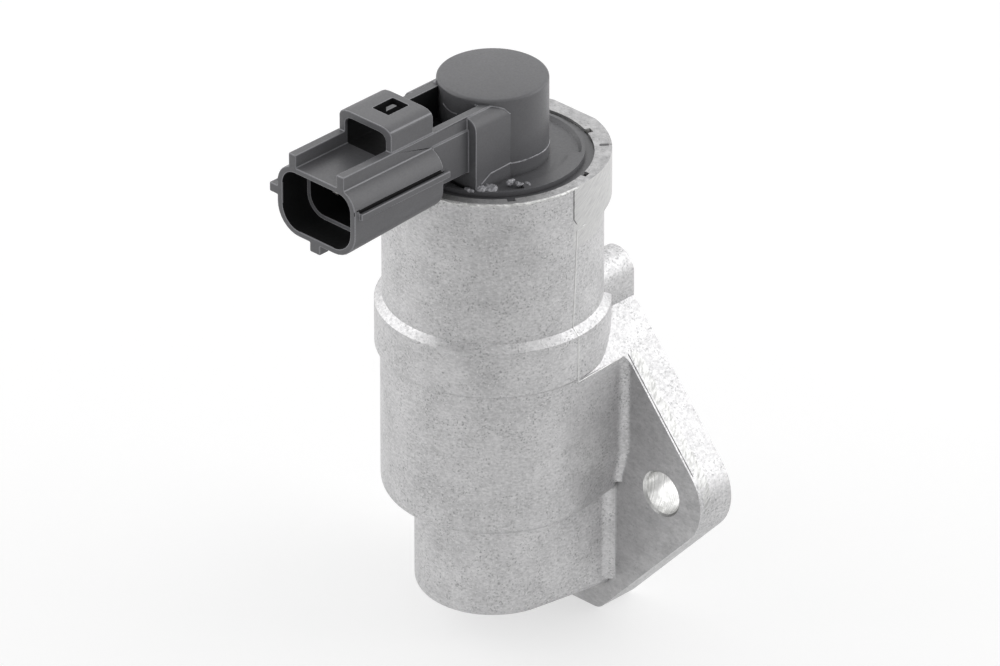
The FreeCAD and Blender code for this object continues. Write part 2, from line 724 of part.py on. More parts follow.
def cap_disc():
    """The moulded disc that closes the tube, with the domed stub over the core."""
    neck_r = lip_r - CAP_GAP
    outline = [(0, cap_floor), (cap_r, cap_floor), (cap_r, cap_lip_low - CAP_GAP),
               (neck_r, cap_lip_low - CAP_GAP), (neck_r, disc_top), (step_r, disc_top),
               (step_r, step_top), (ridge_r + CAP_RIDGE_HALF, step_top),
               (ridge_r - CAP_RIDGE_HALF, plate_top), (0, plate_top)]
    disc = turned(outline)
    land = ring(step_r - LAND_WIDTH, step_r, disc_top, step_top)
    wedge = turned_sector(step_r, disc_top, step_top, LAND_START, LAND_SWEEP)
    disc = disc.fuse(land.common(wedge))
    return disc.fuse(cap_stub())


def cap_stub():
    """The round stub with a slightly domed top and a small edge radius."""
    dome_r = (CAP_STUB_R ** 2 + CAP_DOME ** 2) / (2 * CAP_DOME)
    stub = ring(0, CAP_STUB_R, disc_top, stub_top)
    stub = stub.common(Part.makeSphere(dome_r, V(0, 0, stub_top - dome_r)))
    top_edges = [e for e in stub.Edges if e.BoundBox.ZMin > stub_top - 2 * CAP_DOME
                 and e.BoundBox.XLength > CAP_STUB_R]
    return stub.makeFillet(CAP_EDGE_R, top_edges)


def connector_shell():
    """The rounded socket shell with its latch rails, bridge, side strips and keys."""
    solid = rounded_block(SHELL_HALF, shell_low, shell_top, SHELL_CORNER_R, -MOUTH, -shell_rear)
    for side in (-1, 1):
        outer, inner = side * RAIL_OUT, side * rail_in
        solid = solid.fuse(box(min(outer, inner), max(outer, inner), -MOUTH, -CAP_STUB_R / 2,
                               shell_top - SHELL_CORNER_R, rail_top))
        edge = side * SHELL_HALF
        proud = side * (SHELL_HALF + STRIP_PROUD)
        sunk = side * (SHELL_HALF - SIDE_GROOVE)
        solid = solid.cut(box(min(edge, sunk), max(edge, sunk), STRIP_FRONT_SETBACK - MOUTH,
                              -shell_rear, strip_top, strip_top + SIDE_GROOVE_HEIGHT))
        solid = solid.fuse(box(min(sunk, proud), max(sunk, proud), STRIP_FRONT_SETBACK - MOUTH,
                               STRIP_TAIL - shell_rear, strip_top - STRIP_HEIGHT, strip_top))
    key_top = connector_axis + SIDE_KEY_RISE
    solid = solid.fuse(box(-SHELL_HALF - SIDE_KEY_PROUD, -SHELL_HALF + SIDE_GROOVE, -MOUTH,
                           KEY_DEPTH - MOUTH, key_top - SIDE_KEY_HEIGHT, key_top))
    solid = solid.fuse(box(FOOT_KEY_LEFT, FOOT_KEY_LEFT + FOOT_KEY_WIDTH, -MOUTH,
                           KEY_DEPTH - MOUTH, shell_low - FOOT_KEY_DROP,
                           shell_low + SOCKET_WALL_END / 2))
    return solid.fuse(latch_bridge())


def bridge_outline(trim, y):
    """The section of the latch bridge, drawn in by a wall where trim is given."""
    side = bridge_half - trim
    top = bridge_top - trim
    points = [V(side, y, shell_top - SOCKET_WALL_END / 2), V(side, y, top - BRIDGE_BEVEL_DROP),
              V(side - BRIDGE_BEVEL_RUN + trim / 2, y, top)]
    points += [V(-p.x, p.y, p.z) for p in reversed(points)]
    return Part.Face(Part.makePolygon(points + points[:1]))


def latch_bridge():
    """The bridge over the latch channel, with the window that the latch snaps into."""
    depth = V(0, bridge_front - bridge_rear, 0)
    bridge = bridge_outline(0, -bridge_front).extrude(depth)
    tunnel = bridge_outline(BRIDGE_WALL, -bridge_front).extrude(depth)
    floor = box(-bridge_half, bridge_half, -bridge_front, -bridge_rear,
                shell_top - SOCKET_WALL_END, shell_top)
    window_y = WINDOW_SETBACK - bridge_front
    window = box(-WINDOW_HALF, WINDOW_HALF, window_y, window_y + WINDOW_LENGTH,
                 bridge_top - 2 * BRIDGE_WALL, bridge_top)
    return bridge.cut(tunnel.cut(floor)).cut(window)


def connector_neck():
    """The neck behind the shell and the shoulder block on the front of the stub."""
    neck = box(-NECK_HALF, NECK_HALF, -shell_rear, -BLOCK_FRONT,
               connector_axis - NECK_DROP, shell_top)
    block_top = shell_top + SHOULDER_RISE
    shoulder_block = box(-SHOULDER_HALF, SHOULDER_HALF, -BLOCK_FRONT, 0, disc_top, block_top)
    long_edges = [e for e in shoulder_block.Edges
                  if e.BoundBox.ZMin > block_top - TOUCH and e.BoundBox.XLength < TOUCH]
    shoulder_block = shoulder_block.makeFillet(SHOULDER_EDGE_R, long_edges)
    return neck.fuse(shoulder_block)


def connector_cap(terminals):
    """The overmoulding: disc, stub, neck and socket in one, formed around the terminals."""
    solid = cap_disc().fuse(connector_neck()).fuse(connector_shell())
    pocket_floor = shell_top - POCKET_DEPTH
    pocket_top = rail_top + OVERRUN
    pocket = box(-rail_in, rail_in, -bridge_rear, 0, pocket_floor, pocket_top)
    solid = solid.cut(pocket.cut(ring(0, CAP_STUB_R, pocket_floor, pocket_top)))
    solid = solid.removeSplitter()
    half = SHELL_HALF - SOCKET_WALL_SIDE
    low = shell_low + SOCKET_WALL_END
    top = shell_top - SOCKET_WALL_END
    solid = solid.cut(rounded_block(half, low, top, SOCKET_CORNER_R,
                                    -MOUTH, SOCKET_STEP_DEPTH - MOUTH))
    solid = solid.cut(rounded_block(half - SOCKET_STEP, low + SOCKET_STEP, top - SOCKET_STEP,
                                    SOCKET_CORNER_R - SOCKET_STEP / 2, -MOUTH, SOCKET_DEPTH - MOUTH))
    solid = solid.cut(ring(0, CORE_R + CAP_GAP, cap_floor, core_top + CAP_GAP))
    solid = solid.cut(ring_groove(cap_r, CAP_RING_WIRE_R, cap_ring_height))
    for blade in terminals:
        solid = solid.cut(blade)
    return solid


def pieces():
    """Every piece by name, drawn about the valve axis."""
    left = terminal(-1)
    right = terminal(1)
    return {
        "valve_housing": valve_housing(),
        "flange_seal": flange_seal(),
        "valve_seat": valve_seat(),
        "lower_pole_plate": lower_pole_plate(),
        "lower_bush": lower_bush(),
        "lower_o_ring": o_ring(solenoid_bore_r, PLATE_RING_WIRE_R, plate_ring_height),
        "solenoid_can": solenoid_can(),
        "guide_sleeve": guide_sleeve(),
        "coil_bobbin": coil_bobbin(),
        "coil_winding": coil_winding(),
        "upper_pole_plate": upper_pole_plate(),
        "fixed_core": fixed_core(),
        "upper_bush": upper_bush(),
        "connector_cap": connector_cap([left, right]),
        "terminal_left": left,
        "terminal_right": right,
        "cap_o_ring": o_ring(cap_bore_r, CAP_RING_WIRE_R, cap_ring_height),
        "spring_cup": spring_cup(),
        "return_spring": return_spring(),
        "armature": armature(),
        "stop_washer": stop_washer(),
        "valve_shaft": valve_shaft(),
        "valve_head": valve_head(),
        "head_facing": head_facing(),
        "shaft_clip": shaft_clip(),
    }


def main():
    """Move every piece to the flange's own origin and write it."""
    os.makedirs("parts", exist_ok=True)
    for name, shape in pieces().items():
        shape.translate(V(0, -MATING_FACE, -BOLT_HEIGHT))
        shape.exportStep(os.path.join("parts", name + ".step"))
        print(name, len(shape.Solids), shape.isValid(), round(shape.Volume, 1))


main()
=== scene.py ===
"""Idle air control valve: the finish of every surface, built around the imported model.

The file is laid out as a Blender add-on and is run as a script. Lengths in the settings are in
millimetres, and meshes are in metres, in the part's own frame: X along the flange, Y out of the
mating face, Z up along the valve. The valve's axis stands at x = 0, y = AXIS_Y.
"""

import json
import math

import bmesh
import bpy
from bpy.props import FloatProperty, FloatVectorProperty, IntProperty, PointerProperty
from mathutils import Matrix, Vector, noise

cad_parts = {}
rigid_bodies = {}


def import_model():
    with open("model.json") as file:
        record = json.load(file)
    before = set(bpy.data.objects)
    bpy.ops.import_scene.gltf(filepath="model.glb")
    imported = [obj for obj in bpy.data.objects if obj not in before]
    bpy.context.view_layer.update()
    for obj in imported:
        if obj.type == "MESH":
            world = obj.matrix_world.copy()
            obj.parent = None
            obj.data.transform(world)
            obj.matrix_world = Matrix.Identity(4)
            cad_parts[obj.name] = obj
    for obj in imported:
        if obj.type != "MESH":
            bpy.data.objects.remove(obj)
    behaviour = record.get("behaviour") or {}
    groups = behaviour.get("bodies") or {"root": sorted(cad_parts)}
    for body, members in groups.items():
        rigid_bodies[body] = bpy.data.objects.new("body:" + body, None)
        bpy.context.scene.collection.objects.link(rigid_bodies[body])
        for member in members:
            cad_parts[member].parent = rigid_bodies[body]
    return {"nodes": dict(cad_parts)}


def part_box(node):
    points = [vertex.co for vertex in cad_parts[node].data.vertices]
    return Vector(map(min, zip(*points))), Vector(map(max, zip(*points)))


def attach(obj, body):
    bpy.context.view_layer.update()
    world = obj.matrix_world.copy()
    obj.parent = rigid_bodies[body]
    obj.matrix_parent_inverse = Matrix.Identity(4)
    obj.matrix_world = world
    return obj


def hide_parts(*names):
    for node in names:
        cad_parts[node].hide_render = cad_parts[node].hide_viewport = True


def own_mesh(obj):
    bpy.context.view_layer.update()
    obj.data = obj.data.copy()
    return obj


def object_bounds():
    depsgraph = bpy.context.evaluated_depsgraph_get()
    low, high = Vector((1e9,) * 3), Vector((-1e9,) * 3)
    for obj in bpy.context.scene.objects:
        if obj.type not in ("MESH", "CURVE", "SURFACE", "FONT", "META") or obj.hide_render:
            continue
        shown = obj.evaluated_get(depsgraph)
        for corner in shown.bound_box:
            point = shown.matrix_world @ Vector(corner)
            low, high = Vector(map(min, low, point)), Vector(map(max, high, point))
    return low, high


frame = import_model()
cad_low, cad_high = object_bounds()

bl_info = {
    "name": "Idle air control valve",
    "version": (1, 0, 0),
    "blender": (4, 5, 0),
    "location": "View3D > Sidebar > Valve",
    "description": "Dresses the valve's packed nodes with their castings, mouldings and finishes",
    "category": "Object",
}

MM = 0.001

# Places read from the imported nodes
_, housing_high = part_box("valve_housing")
cap_low, cap_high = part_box("connector_cap")
spring_low, spring_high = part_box("return_spring")
winding_low, winding_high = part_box("coil_winding")
can_low, can_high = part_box("solenoid_can")
core_low, core_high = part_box("fixed_core")
AXIS_Y = (can_low.y + can_high.y) / 2
RIM_TOP = housing_high.z

# Heights of the casting above the mating face's bolt line, and its radii about the valve axis
BOLT_HEIGHT = 21.25 * MM
COLLAR_LOW = 43.3 * MM - BOLT_HEIGHT
COLLAR_TOP = 51.5 * MM - BOLT_HEIGHT
LEDGE_TOP = 52.6 * MM - BOLT_HEIGHT
SLOPE_LOW = 66.6 * MM - BOLT_HEIGHT
RIM_STEP = 69.8 * MM - BOLT_HEIGHT
TUBE_R = 17.4 * MM
COLLAR_R = 18.6 * MM
LOWER_R = 17.7 * MM
RIM_SHIFT = 1.5 * MM
RIM_R = 17.56 * MM
LIP_R = 15.85 * MM
BOLT_X = 25.75 * MM
BOLT_HOLE_R = 3.6 * MM
EAR_R = 8.45 * MM
FLANGE_FRONT = -7.1 * MM
PARTING_Y = -4.2 * MM
TOP_CORNER = Vector((12.0 * MM, 48.1 * MM - BOLT_HEIGHT))
TOP_CORNER_R = 1.5 * MM
WINDING_BORE_R = 7.1 * MM

# Heights and radii of the moulding
MOUTH = cap_low.y
SOCKET_AXIS = RIM_TOP + 4.6 * MM
DISC_TOP = RIM_TOP - 0.5 * MM
STEP_TOP = RIM_TOP + 0.4 * MM
PLATE_TOP = RIM_TOP + 0.1 * MM
PLATE_SINK = 0.3 * MM
STUB_R = 8.8 * MM
STUB_TOP = RIM_TOP + 14.0 * MM
STUB_DOME = 0.6 * MM
STUB_EDGE_R = 0.5 * MM
CORNER_R = 3.6 * MM
LOWER_CORNER_R = 4.6 * MM
SOCKET_STEP = 0.75 * MM
STEP_DEPTH = 5.4 * MM
SOCKET_DEPTH = 17.0 * MM
SOCKET_TAPER = 1.1 * MM
BRIDGE_FRONT = MOUTH + 10.8 * MM
BRIDGE_BACK = BRIDGE_FRONT + 9.2 * MM
BRIDGE_RISE = 6.1 * MM
BRIDGE_INSET = 0.3 * MM
BRIDGE_ROUND = (2.1 * MM, 1.1 * MM)
BRIDGE_WALL = 1.2 * MM
WINDOW_HALF = 1.7 * MM
WINDOW_SETBACK = 3.4 * MM
WINDOW_LENGTH = 4.4 * MM
STRIP_TOP = SOCKET_AXIS + 2.4 * MM
STRIP_HEIGHT = 1.1 * MM
STRIP_PROUD = 0.5 * MM
GROOVE_DEPTH = 0.45 * MM
GROOVE_HEIGHT = 0.6 * MM
KEY_DEPTH = 2.0 * MM
SIDE_KEY = (1.7 * MM, SOCKET_AXIS - 0.1 * MM, SOCKET_AXIS + 1.4 * MM)
FOOT_KEY = (-1.4 * MM, 0.7 * MM, 1.6 * MM)
NECK_HALF = 6.2 * MM
NECK_DROP = 1.5 * MM
BLOCK_HALF = 7.8 * MM
BLOCK_FRONT = AXIS_Y - 11.8 * MM
BLOCK_TOP = RIM_TOP + 12.5 * MM
BLOCK_EDGE_R = 1.9 * MM
POCKET_DEPTH = 3.4 * MM
RAIL_TOP = RIM_TOP + 12.7 * MM
FLASH_HEIGHT = RIM_TOP + 2.2 * MM
POCKET_STREAK = RIM_TOP + 10.1 * MM

# Where the moulding's painted shade lies: the half width and half height of the mouth's inside,
# the half width between the rails, the tunnel's heights, the pocket's floor and the grooves' sides
MOUTH_HALVES = (7.31 * MM, 4.96 * MM)
BETWEEN_RAILS = 4.45 * MM
TUNNEL_LOW = SOCKET_AXIS + 5.4 * MM
TUNNEL_TOP = SOCKET_AXIS + 11.9 * MM
POCKET_FLOOR = SOCKET_AXIS + 2.0 * MM
GROOVE_SIDES = (7.9 * MM, 8.3 * MM)

# Fine marks: how far the seam leans and bends aside at its top, in millimetres, the angle of the
# slit in the rim, and how far the trimmed band stands proud. The burr is coarsest round its middle.
SEAM_LEAN = 0.9
SEAM_BEND = 1.5
SLIT_ANGLE = 49.8
TRIM_LIFT = 0.06
BURR_MIDDLE = math.radians(-52)

# The broken edges of the terminals, and the radius of the return spring's wire
BLADE_EDGE = 0.12 * MM
SPRING_WIRE_R = 0.45 * MM

# The softboxes: their reach and height from the aim point and their sizes, in metres. A side softbox
# stands out to its side and a little behind, by these shares of its reach.
SIDE_OUT = 0.97
SIDE_BEHIND = 0.25
SIDE_REACH = 0.55
SIDE_RISE = 0.30
SIDE_SIZE = (0.75, 0.60)
BACK_REACH = 0.50
BACK_RISE = 0.42
BACK_SIZE = (0.55, 0.26)

# The floor: its own tone, its glow to the camera and in reflections, and how far out that fades, in
# metres. The backdrop: how far towards the camera it fades, as a dot product, and to what share.
FLOOR_TONE = 0.50
FLOOR_GLOW = 0.55
FLOOR_MIRRORED = 0.45
FLOOR_FADE = 0.45
BACKDROP_FADE = 0.95
BACKDROP_DIMMEST = 0.45

# The even light near the horizon and overhead, as shares of the sky's strength
SKY_LOW = 1.5
SKY_OVERHEAD = 0.45


def size_setting(name, description, default):
    """One length, in millimetres."""
    return FloatProperty(name=name, description=description, default=default)


def colour_setting(name, description, *default):
    """One base colour."""
    return FloatVectorProperty(name=name, description=description, size=3, default=default, subtype="COLOR")


class StageSettings(bpy.types.PropertyGroup):
    """Camera, floor and lamps."""

    azimuth: FloatProperty(name="Camera azimuth", description="Turn of the camera about the valve",
                           default=math.radians(44.0), subtype="ANGLE")
    elevation: FloatProperty(name="Camera elevation", description="Height of the camera's line of sight",
                             default=math.radians(29.56), subtype="ANGLE")
    distance: FloatProperty(name="Camera distance", description="From the aim point to the camera",
                            default=2.0, unit="LENGTH")
    lens: FloatProperty(name="Focal length", description="Lens in millimetres", default=459.3)
    shift: FloatVectorProperty(name="Lens shift", description="Sideways and upward shift", size=2,
                               default=(0.0073, -0.0012))
    aim: FloatVectorProperty(name="Aim point", description="What the camera looks at", size=3,
                             default=(0.0, -0.0185, 0.02375), subtype="TRANSLATION")
    sky: FloatProperty(name="Sky", description="Strength of the even light from all round", default=0.72)
    side_power: FloatProperty(name="Side lamps", description="Power of the two side softboxes",
                              default=1.35, unit="POWER")
    back_power: FloatProperty(name="Back lamp", description="Power of the softbox behind the valve",
                              default=0.28, unit="POWER")


class FinishSettings(bpy.types.PropertyGroup):
    """Base colours of the finishes."""

    cast_light: colour_setting("Casting, light", "Clean cast skin", 0.74, 0.735, 0.74)
    cast_dark: colour_setting("Casting, dark", "Pits and stains", 0.39, 0.39, 0.395)
    bright_metal: colour_setting("Cut metal", "Machined and torn aluminium", 0.80, 0.80, 0.79)
    plastic: colour_setting("Moulding", "Black glass-filled plastic", 0.124, 0.124, 0.131)
    rubber: colour_setting("Rubber", "Seals and facing", 0.022, 0.022, 0.024)
    steel: colour_setting("Steel", "Plated magnetic parts", 0.52, 0.52, 0.53)
    brass: colour_setting("Brass", "Seat, bushes and washer", 0.72, 0.52, 0.22)
    copper: colour_setting("Copper", "Enamelled winding", 0.60, 0.24, 0.09)
    tin: colour_setting("Tin", "Plating of the terminals", 0.70, 0.69, 0.66)


class SocketSettings(bpy.types.PropertyGroup):
    """Sizes of the moulded socket, in millimetres."""

    half: size_setting("Half width", "From the middle to the outside of the shell", 8.4)
    height: size_setting("Height", "Outside height of the shell", 11.8)
    length: size_setting("Length", "From the mouth to the back of the shell", 19.4)
    side_wall: size_setting("Side wall", "Thickness of the shell's sides", 1.1)
    end_wall: size_setting("Top wall", "Thickness of the shell's top and floor", 0.95)
    rail_out: size_setting("Rail", "From the middle to the outside of a rail", 5.9)
    rail_thick: size_setting("Rail thickness", "Thickness of a rail", 1.5)


class DetailSettings(bpy.types.PropertyGroup):
    """Small sizes that the casting and the moulding show, in millimetres."""

    cast_edge: size_setting("Casting edges", "Radius of the casting's edges", 0.3)
    plastic_edge: size_setting("Moulding edges", "Radius of the moulding's edges", 0.16)
    metal_edge: size_setting("Turned edges", "Broken edges of turned pieces", 0.08)
    seam_width: size_setting("Seam width", "Width of the parting seam", 0.32)
    seam_height: size_setting("Seam height", "How far the seam stands proud", 0.1)
    burr_size: size_setting("Rim burr", "Thickness of the burr on the rim", 0.24)
    wire_turns: IntProperty(name="Winding turns", description="Turns in the winding's outer layer",
                            default=46)
    spring_turns: IntProperty(name="Spring turns", description="Turns of the return spring", default=7)


# Mesh helpers


def deselect_all():
    """Nothing stays selected."""
    for obj in bpy.context.view_layer.objects:
        obj.select_set(False)


def activate(obj):
    """Only this object is selected, and it is the active one."""
    deselect_all()
    obj.select_set(True)
    bpy.context.view_layer.objects.active = obj


def apply_modifier(obj, kind, **settings):
    """Adds one modifier with its settings and applies it."""
    activate(obj)
    modifier = obj.modifiers.new(kind.title(), kind)
    for name, value in settings.items():
        setattr(modifier, name, value)
    bpy.ops.object.modifier_apply(modifier=modifier.name)


def edit_all(obj, *steps):
    """Runs mesh operators, each given with its settings, on the whole of an object."""
    activate(obj)
    bpy.ops.object.mode_set(mode="EDIT")
    bpy.ops.mesh.select_all(action="SELECT")
    for operator, settings in steps:
        operator(**settings)
    bpy.ops.object.mode_set(mode="OBJECT")


def settle(obj):
    """The object's place goes into its mesh."""
    activate(obj)
    bpy.ops.object.transform_apply(location=True, rotation=True, scale=True)


def smooth(obj, degrees=35):
    """Smooth shading, apart from edges sharper than the angle."""
    activate(obj)
    bpy.ops.object.shade_smooth_by_angle(angle=math.radians(degrees))


def outwards(obj):
    """All faces of a closed piece point outwards."""
    edit_all(obj, (bpy.ops.mesh.remove_doubles, {"threshold": 1e-6}),
             (bpy.ops.mesh.normals_make_consistent, {"inside": False}))


def joined(pieces, name):
    """Several loose pieces become one object."""
    activate(pieces[0])
    for piece in pieces[1:]:
        piece.select_set(True)
    bpy.ops.object.join()
    pieces[0].name = name
    return pieces[0]


def primitive(operator, name, **settings):
    """Adds a primitive and names it."""
    deselect_all()
    operator(**settings)
    obj = bpy.context.object
    obj.name = name
    return obj


def roughen(obj, amount, size, seed, along=None):
    """Moves vertices by smooth noise, along one direction or along their normals."""
    offset = Vector((seed * 1.7, seed * 3.1, seed * 5.3))
    normals = [v.normal.copy() for v in obj.data.vertices]
    for vertex, normal in zip(obj.data.vertices, normals):
        push = noise.noise(vertex.co / size + offset) * amount
        vertex.co += (along or normal) * push
    obj.data.update()


def slice_mesh(obj, place, direction):
    """Cuts new edges where a plane meets the mesh, so that a finish can change there."""
    edit_all(obj, (bpy.ops.mesh.bisect, {"plane_co": place, "plane_no": direction}))


def merged_copy(node):
    """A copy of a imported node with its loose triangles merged. It stands for the node."""
    source = frame["nodes"][node]
    obj = source.copy()
    obj.data = source.data.copy()
    obj.name = node + "_finish"
    for key in list(obj.keys()):
        del obj[key]
    obj.parent = None
    bpy.context.scene.collection.objects.link(obj)
    activate(obj)
    bpy.ops.mesh.customdata_custom_splitnormals_clear()
    edit_all(obj, (bpy.ops.mesh.remove_doubles, {"threshold": 2e-6}),
             (bpy.ops.mesh.dissolve_limited, {"angle_limit": math.radians(0.6)}))
    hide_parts(node)
    return obj


def break_edges(obj, edge, segments=2, clamp=True):
    """Rounds the sharp edges. Their faces take the second material slot."""
    apply_modifier(obj, "BEVEL", width=edge, segments=segments, limit_method="ANGLE",
                   angle_limit=math.radians(28), use_clamp_overlap=clamp, miter_outer="MITER_ARC",
                   material=1)


def soften(obj):
    """Smooth shading that keeps flat faces flat."""
    smooth(obj, 40)
    apply_modifier(obj, "WEIGHTED_NORMAL", mode="FACE_AREA", weight=80, keep_sharp=True)


def dressed_copy(node, edge, segments=2, cuts=()):
    """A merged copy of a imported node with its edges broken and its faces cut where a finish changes."""
    obj = merged_copy(node)
    break_edges(obj, edge, segments)
    for place, direction in cuts:
        slice_mesh(obj, place, direction)
    soften(obj)
    return obj


def block(name, low, high):
    """A box between two corners, given in any order."""
    box = primitive(bpy.ops.mesh.primitive_cube_add, name, size=1.0)
    for vertex in box.data.vertices:
        vertex.co = [min(a, b) if c < 0 else max(a, b) for a, b, c in zip(low, high, vertex.co)]
    return box


def prism(name, outline, start, end, lift=0.0):
    """An upright outline of (x, z) points carried along Y. The foot of its far end may be lifted."""
    solid = primitive(bpy.ops.mesh.primitive_cylinder_add, name, vertices=len(outline))
    top = max(z for x, z in outline)
    tall = top - min(z for x, z in outline)
    for index, vertex in enumerate(solid.data.vertices):
        x, z = outline[index // 2]
        vertex.co = (x, end, z + lift * (top - z) / tall) if index % 2 else (x, start, z)
    outwards(solid)
    return solid


def rounded_outline(half, low, high, lower_r, upper_r, steps=8):
    """Points round a rectangle, with one radius for its lower corners and one for its upper."""
    points = []
    for side, radius, z in ((1, upper_r, high - upper_r), (-1, upper_r, high - upper_r),
                            (-1, lower_r, low + lower_r), (1, lower_r, low + lower_r)):
        first = len(points) // (steps + 1) * 90
        for step in range(steps + 1):
            turn = math.radians(first + 90 * step / steps)
            points.append((side * (half - radius) + radius * math.cos(turn), z + radius * math.sin(turn)))
    return points


def combine(target, piece, operation):
    """Adds one piece to another, or cuts it away, and removes it."""
    apply_modifier(target, "BOOLEAN", operation=operation, object=piece, solver="EXACT")
    bpy.data.objects.remove(piece, do_unlink=True)


def paint(obj, *materials):
    """Gives a piece its materials, which its faces already count."""
    indices = [polygon.material_index for polygon in obj.data.polygons]
    obj.data.materials.clear()
    for material in materials:
        obj.data.materials.append(material)
    last = len(materials) - 1
    obj.data.polygons.foreach_set("material_index", [min(i, last) for i in indices])


def dress(obj, body, slot, *materials):
    """Gives a finished piece its materials and its body; its slot is not used."""
    paint(obj, *materials)
    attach(obj, body)


# Materials


def add_node(tree, kind, inputs=(), **settings):
    """One shader node, with its settings and its plain input values."""
    node = tree.nodes.new(kind)
    for name, value in settings.items():
        setattr(node, name, value)
    for name, value in dict(inputs).items():
        node.inputs[name].default_value = value
    return node


def new_group(name, **inputs):
    """An empty node group. An input is a number, a vector of three or a colour of four."""
    group = bpy.data.node_groups.new(name, "ShaderNodeTree")
    kinds = {3: "NodeSocketVector", 4: "NodeSocketColor"}
    for socket, value in inputs.items():
        kind = "NodeSocketFloat" if isinstance(value, float) else kinds[len(value)]
        socket = socket.replace("_", " ")
        made = group.interface.new_socket(name=socket, in_out="INPUT", socket_type=kind)
        made.default_value = value
    for socket, kind in (("Color", "NodeSocketColor"), ("Roughness", "NodeSocketFloat"),
                         ("Height", "NodeSocketFloat")):
        group.interface.new_socket(name=socket, in_out="OUTPUT", socket_type=kind)
    start = group.nodes.new("NodeGroupInput")
    end = group.nodes.new("NodeGroupOutput")
    return group, start, end


def scaled_noise(group, coordinates, scale, detail, roughness):
    """A noise texture whose scale comes from a socket or is a plain value."""
    texture = add_node(group, "ShaderNodeTexNoise", {"Detail": detail, "Roughness": roughness})
    group.links.new(coordinates, texture.inputs["Vector"])
    feed(group, texture.inputs["Scale"], scale)
    return texture.outputs["Fac"]


def moved(group, coordinates, operation, amount):
    """Coordinates shifted or stretched by a fixed vector."""
    node = add_node(group, "ShaderNodeVectorMath", operation=operation)
    group.links.new(coordinates, node.inputs[0])
    node.inputs[1].default_value = amount
    return node.outputs["Vector"]


def feed(group, socket, value):
    """A socket takes a plain value or the output of another node."""
    if isinstance(value, (int, float)):
        socket.default_value = value
    else:
        group.links.new(value, socket)


def maths(group, operation, *values):
    """A maths node on values or sockets."""
    node = add_node(group, "ShaderNodeMath", operation=operation)
    for socket, value in zip(node.inputs, values):
        feed(group, socket, value)
    return node.outputs[0]


def weighted(group, total, *terms, clamp=False):
    """A start value plus sockets, each times its weight. The whole sum may be clamped."""
    for value, weight in terms:
        total = maths(group, "MULTIPLY_ADD", value, weight, total)
    total.node.use_clamp = clamp
    return total


def ranged(group, value, low, high, to_low=0.0, to_high=1.0):
    """A value carried smoothly from one range to another."""
    node = add_node(group, "ShaderNodeMapRange", interpolation_type="SMOOTHSTEP",
                    inputs={"From Min": low, "From Max": high, "To Min": to_low, "To Max": to_high})
    group.links.new(value, node.inputs["Value"])
    return node.outputs["Result"]


def mixed(group, factor, first, second):
    """A colour between two sockets."""
    node = add_node(group, "ShaderNodeMix", data_type="RGBA")
    group.links.new(factor, node.inputs["Factor"])
    group.links.new(first, node.inputs[6])
    group.links.new(second, node.inputs[7])
    return node.outputs[2]


def close_group(group, start, end, shade, rough, height):
    """Carries a colour between the group's light and dark, its roughness and its height out."""
    colour = mixed(group, shade, start.outputs["Light"], start.outputs["Dark"])
    for socket, value in (("Color", colour), ("Roughness", rough), ("Height", height)):
        group.links.new(value, end.inputs[socket])
    return group


def skin_group():
    """Cast or moulded skin: soft clouds, fine mottling that lies level, and small dark and light
    specks that come in clusters."""
    group, start, end = new_group(
        "surface_skin", Place=(0.0, 0.0, 0.0), Light=(0.8, 0.8, 0.8, 1), Dark=(0.3, 0.3, 0.3, 1),
        Mottle_Scale=1500.0, Cloud_Scale=170.0, Speck_Scale=3000.0, Specks=0.5, Roughness=0.5)
    place = start.outputs["Place"]
    level = moved(group, place, "MULTIPLY", (1.0, 1.0, 1.8))
    elsewhere = moved(group, place, "ADD", (0.31, 0.17, 0.23))
    mottle = scaled_noise(group, level, start.outputs["Mottle Scale"], 4.0, 0.62)
    cloud = scaled_noise(group, place, start.outputs["Cloud Scale"], 4.0, 0.55)
    cluster = ranged(group, scaled_noise(group, elsewhere, 330.0, 3.0, 0.6), 0.38, 0.62)
    dots = ranged(group, scaled_noise(group, place, start.outputs["Speck Scale"], 1.5, 0.5), 0.56, 0.70)
    glints = scaled_noise(group, elsewhere, start.outputs["Speck Scale"], 1.5, 0.5)
    glints = ranged(group, glints, 0.60, 0.74)
    dots = maths(group, "MULTIPLY", maths(group, "MULTIPLY", dots, start.outputs["Specks"]),
                 weighted(group, 0.2, (cluster, 0.8)))
    glints = maths(group, "MULTIPLY", glints, start.outputs["Specks"])
    shade = weighted(group, -0.82, (mottle, 1.4), (cloud, 0.9), (dots, 1.0), (glints, -0.6), clamp=True)
    rough = weighted(group, -0.15, (start.outputs["Roughness"], 1.0), (mottle, 0.3))
    height = weighted(group, 0.0, (mottle, 0.7), (dots, -0.7), (cloud, 1.4))
    return close_group(group, start, end, shade, rough, height)


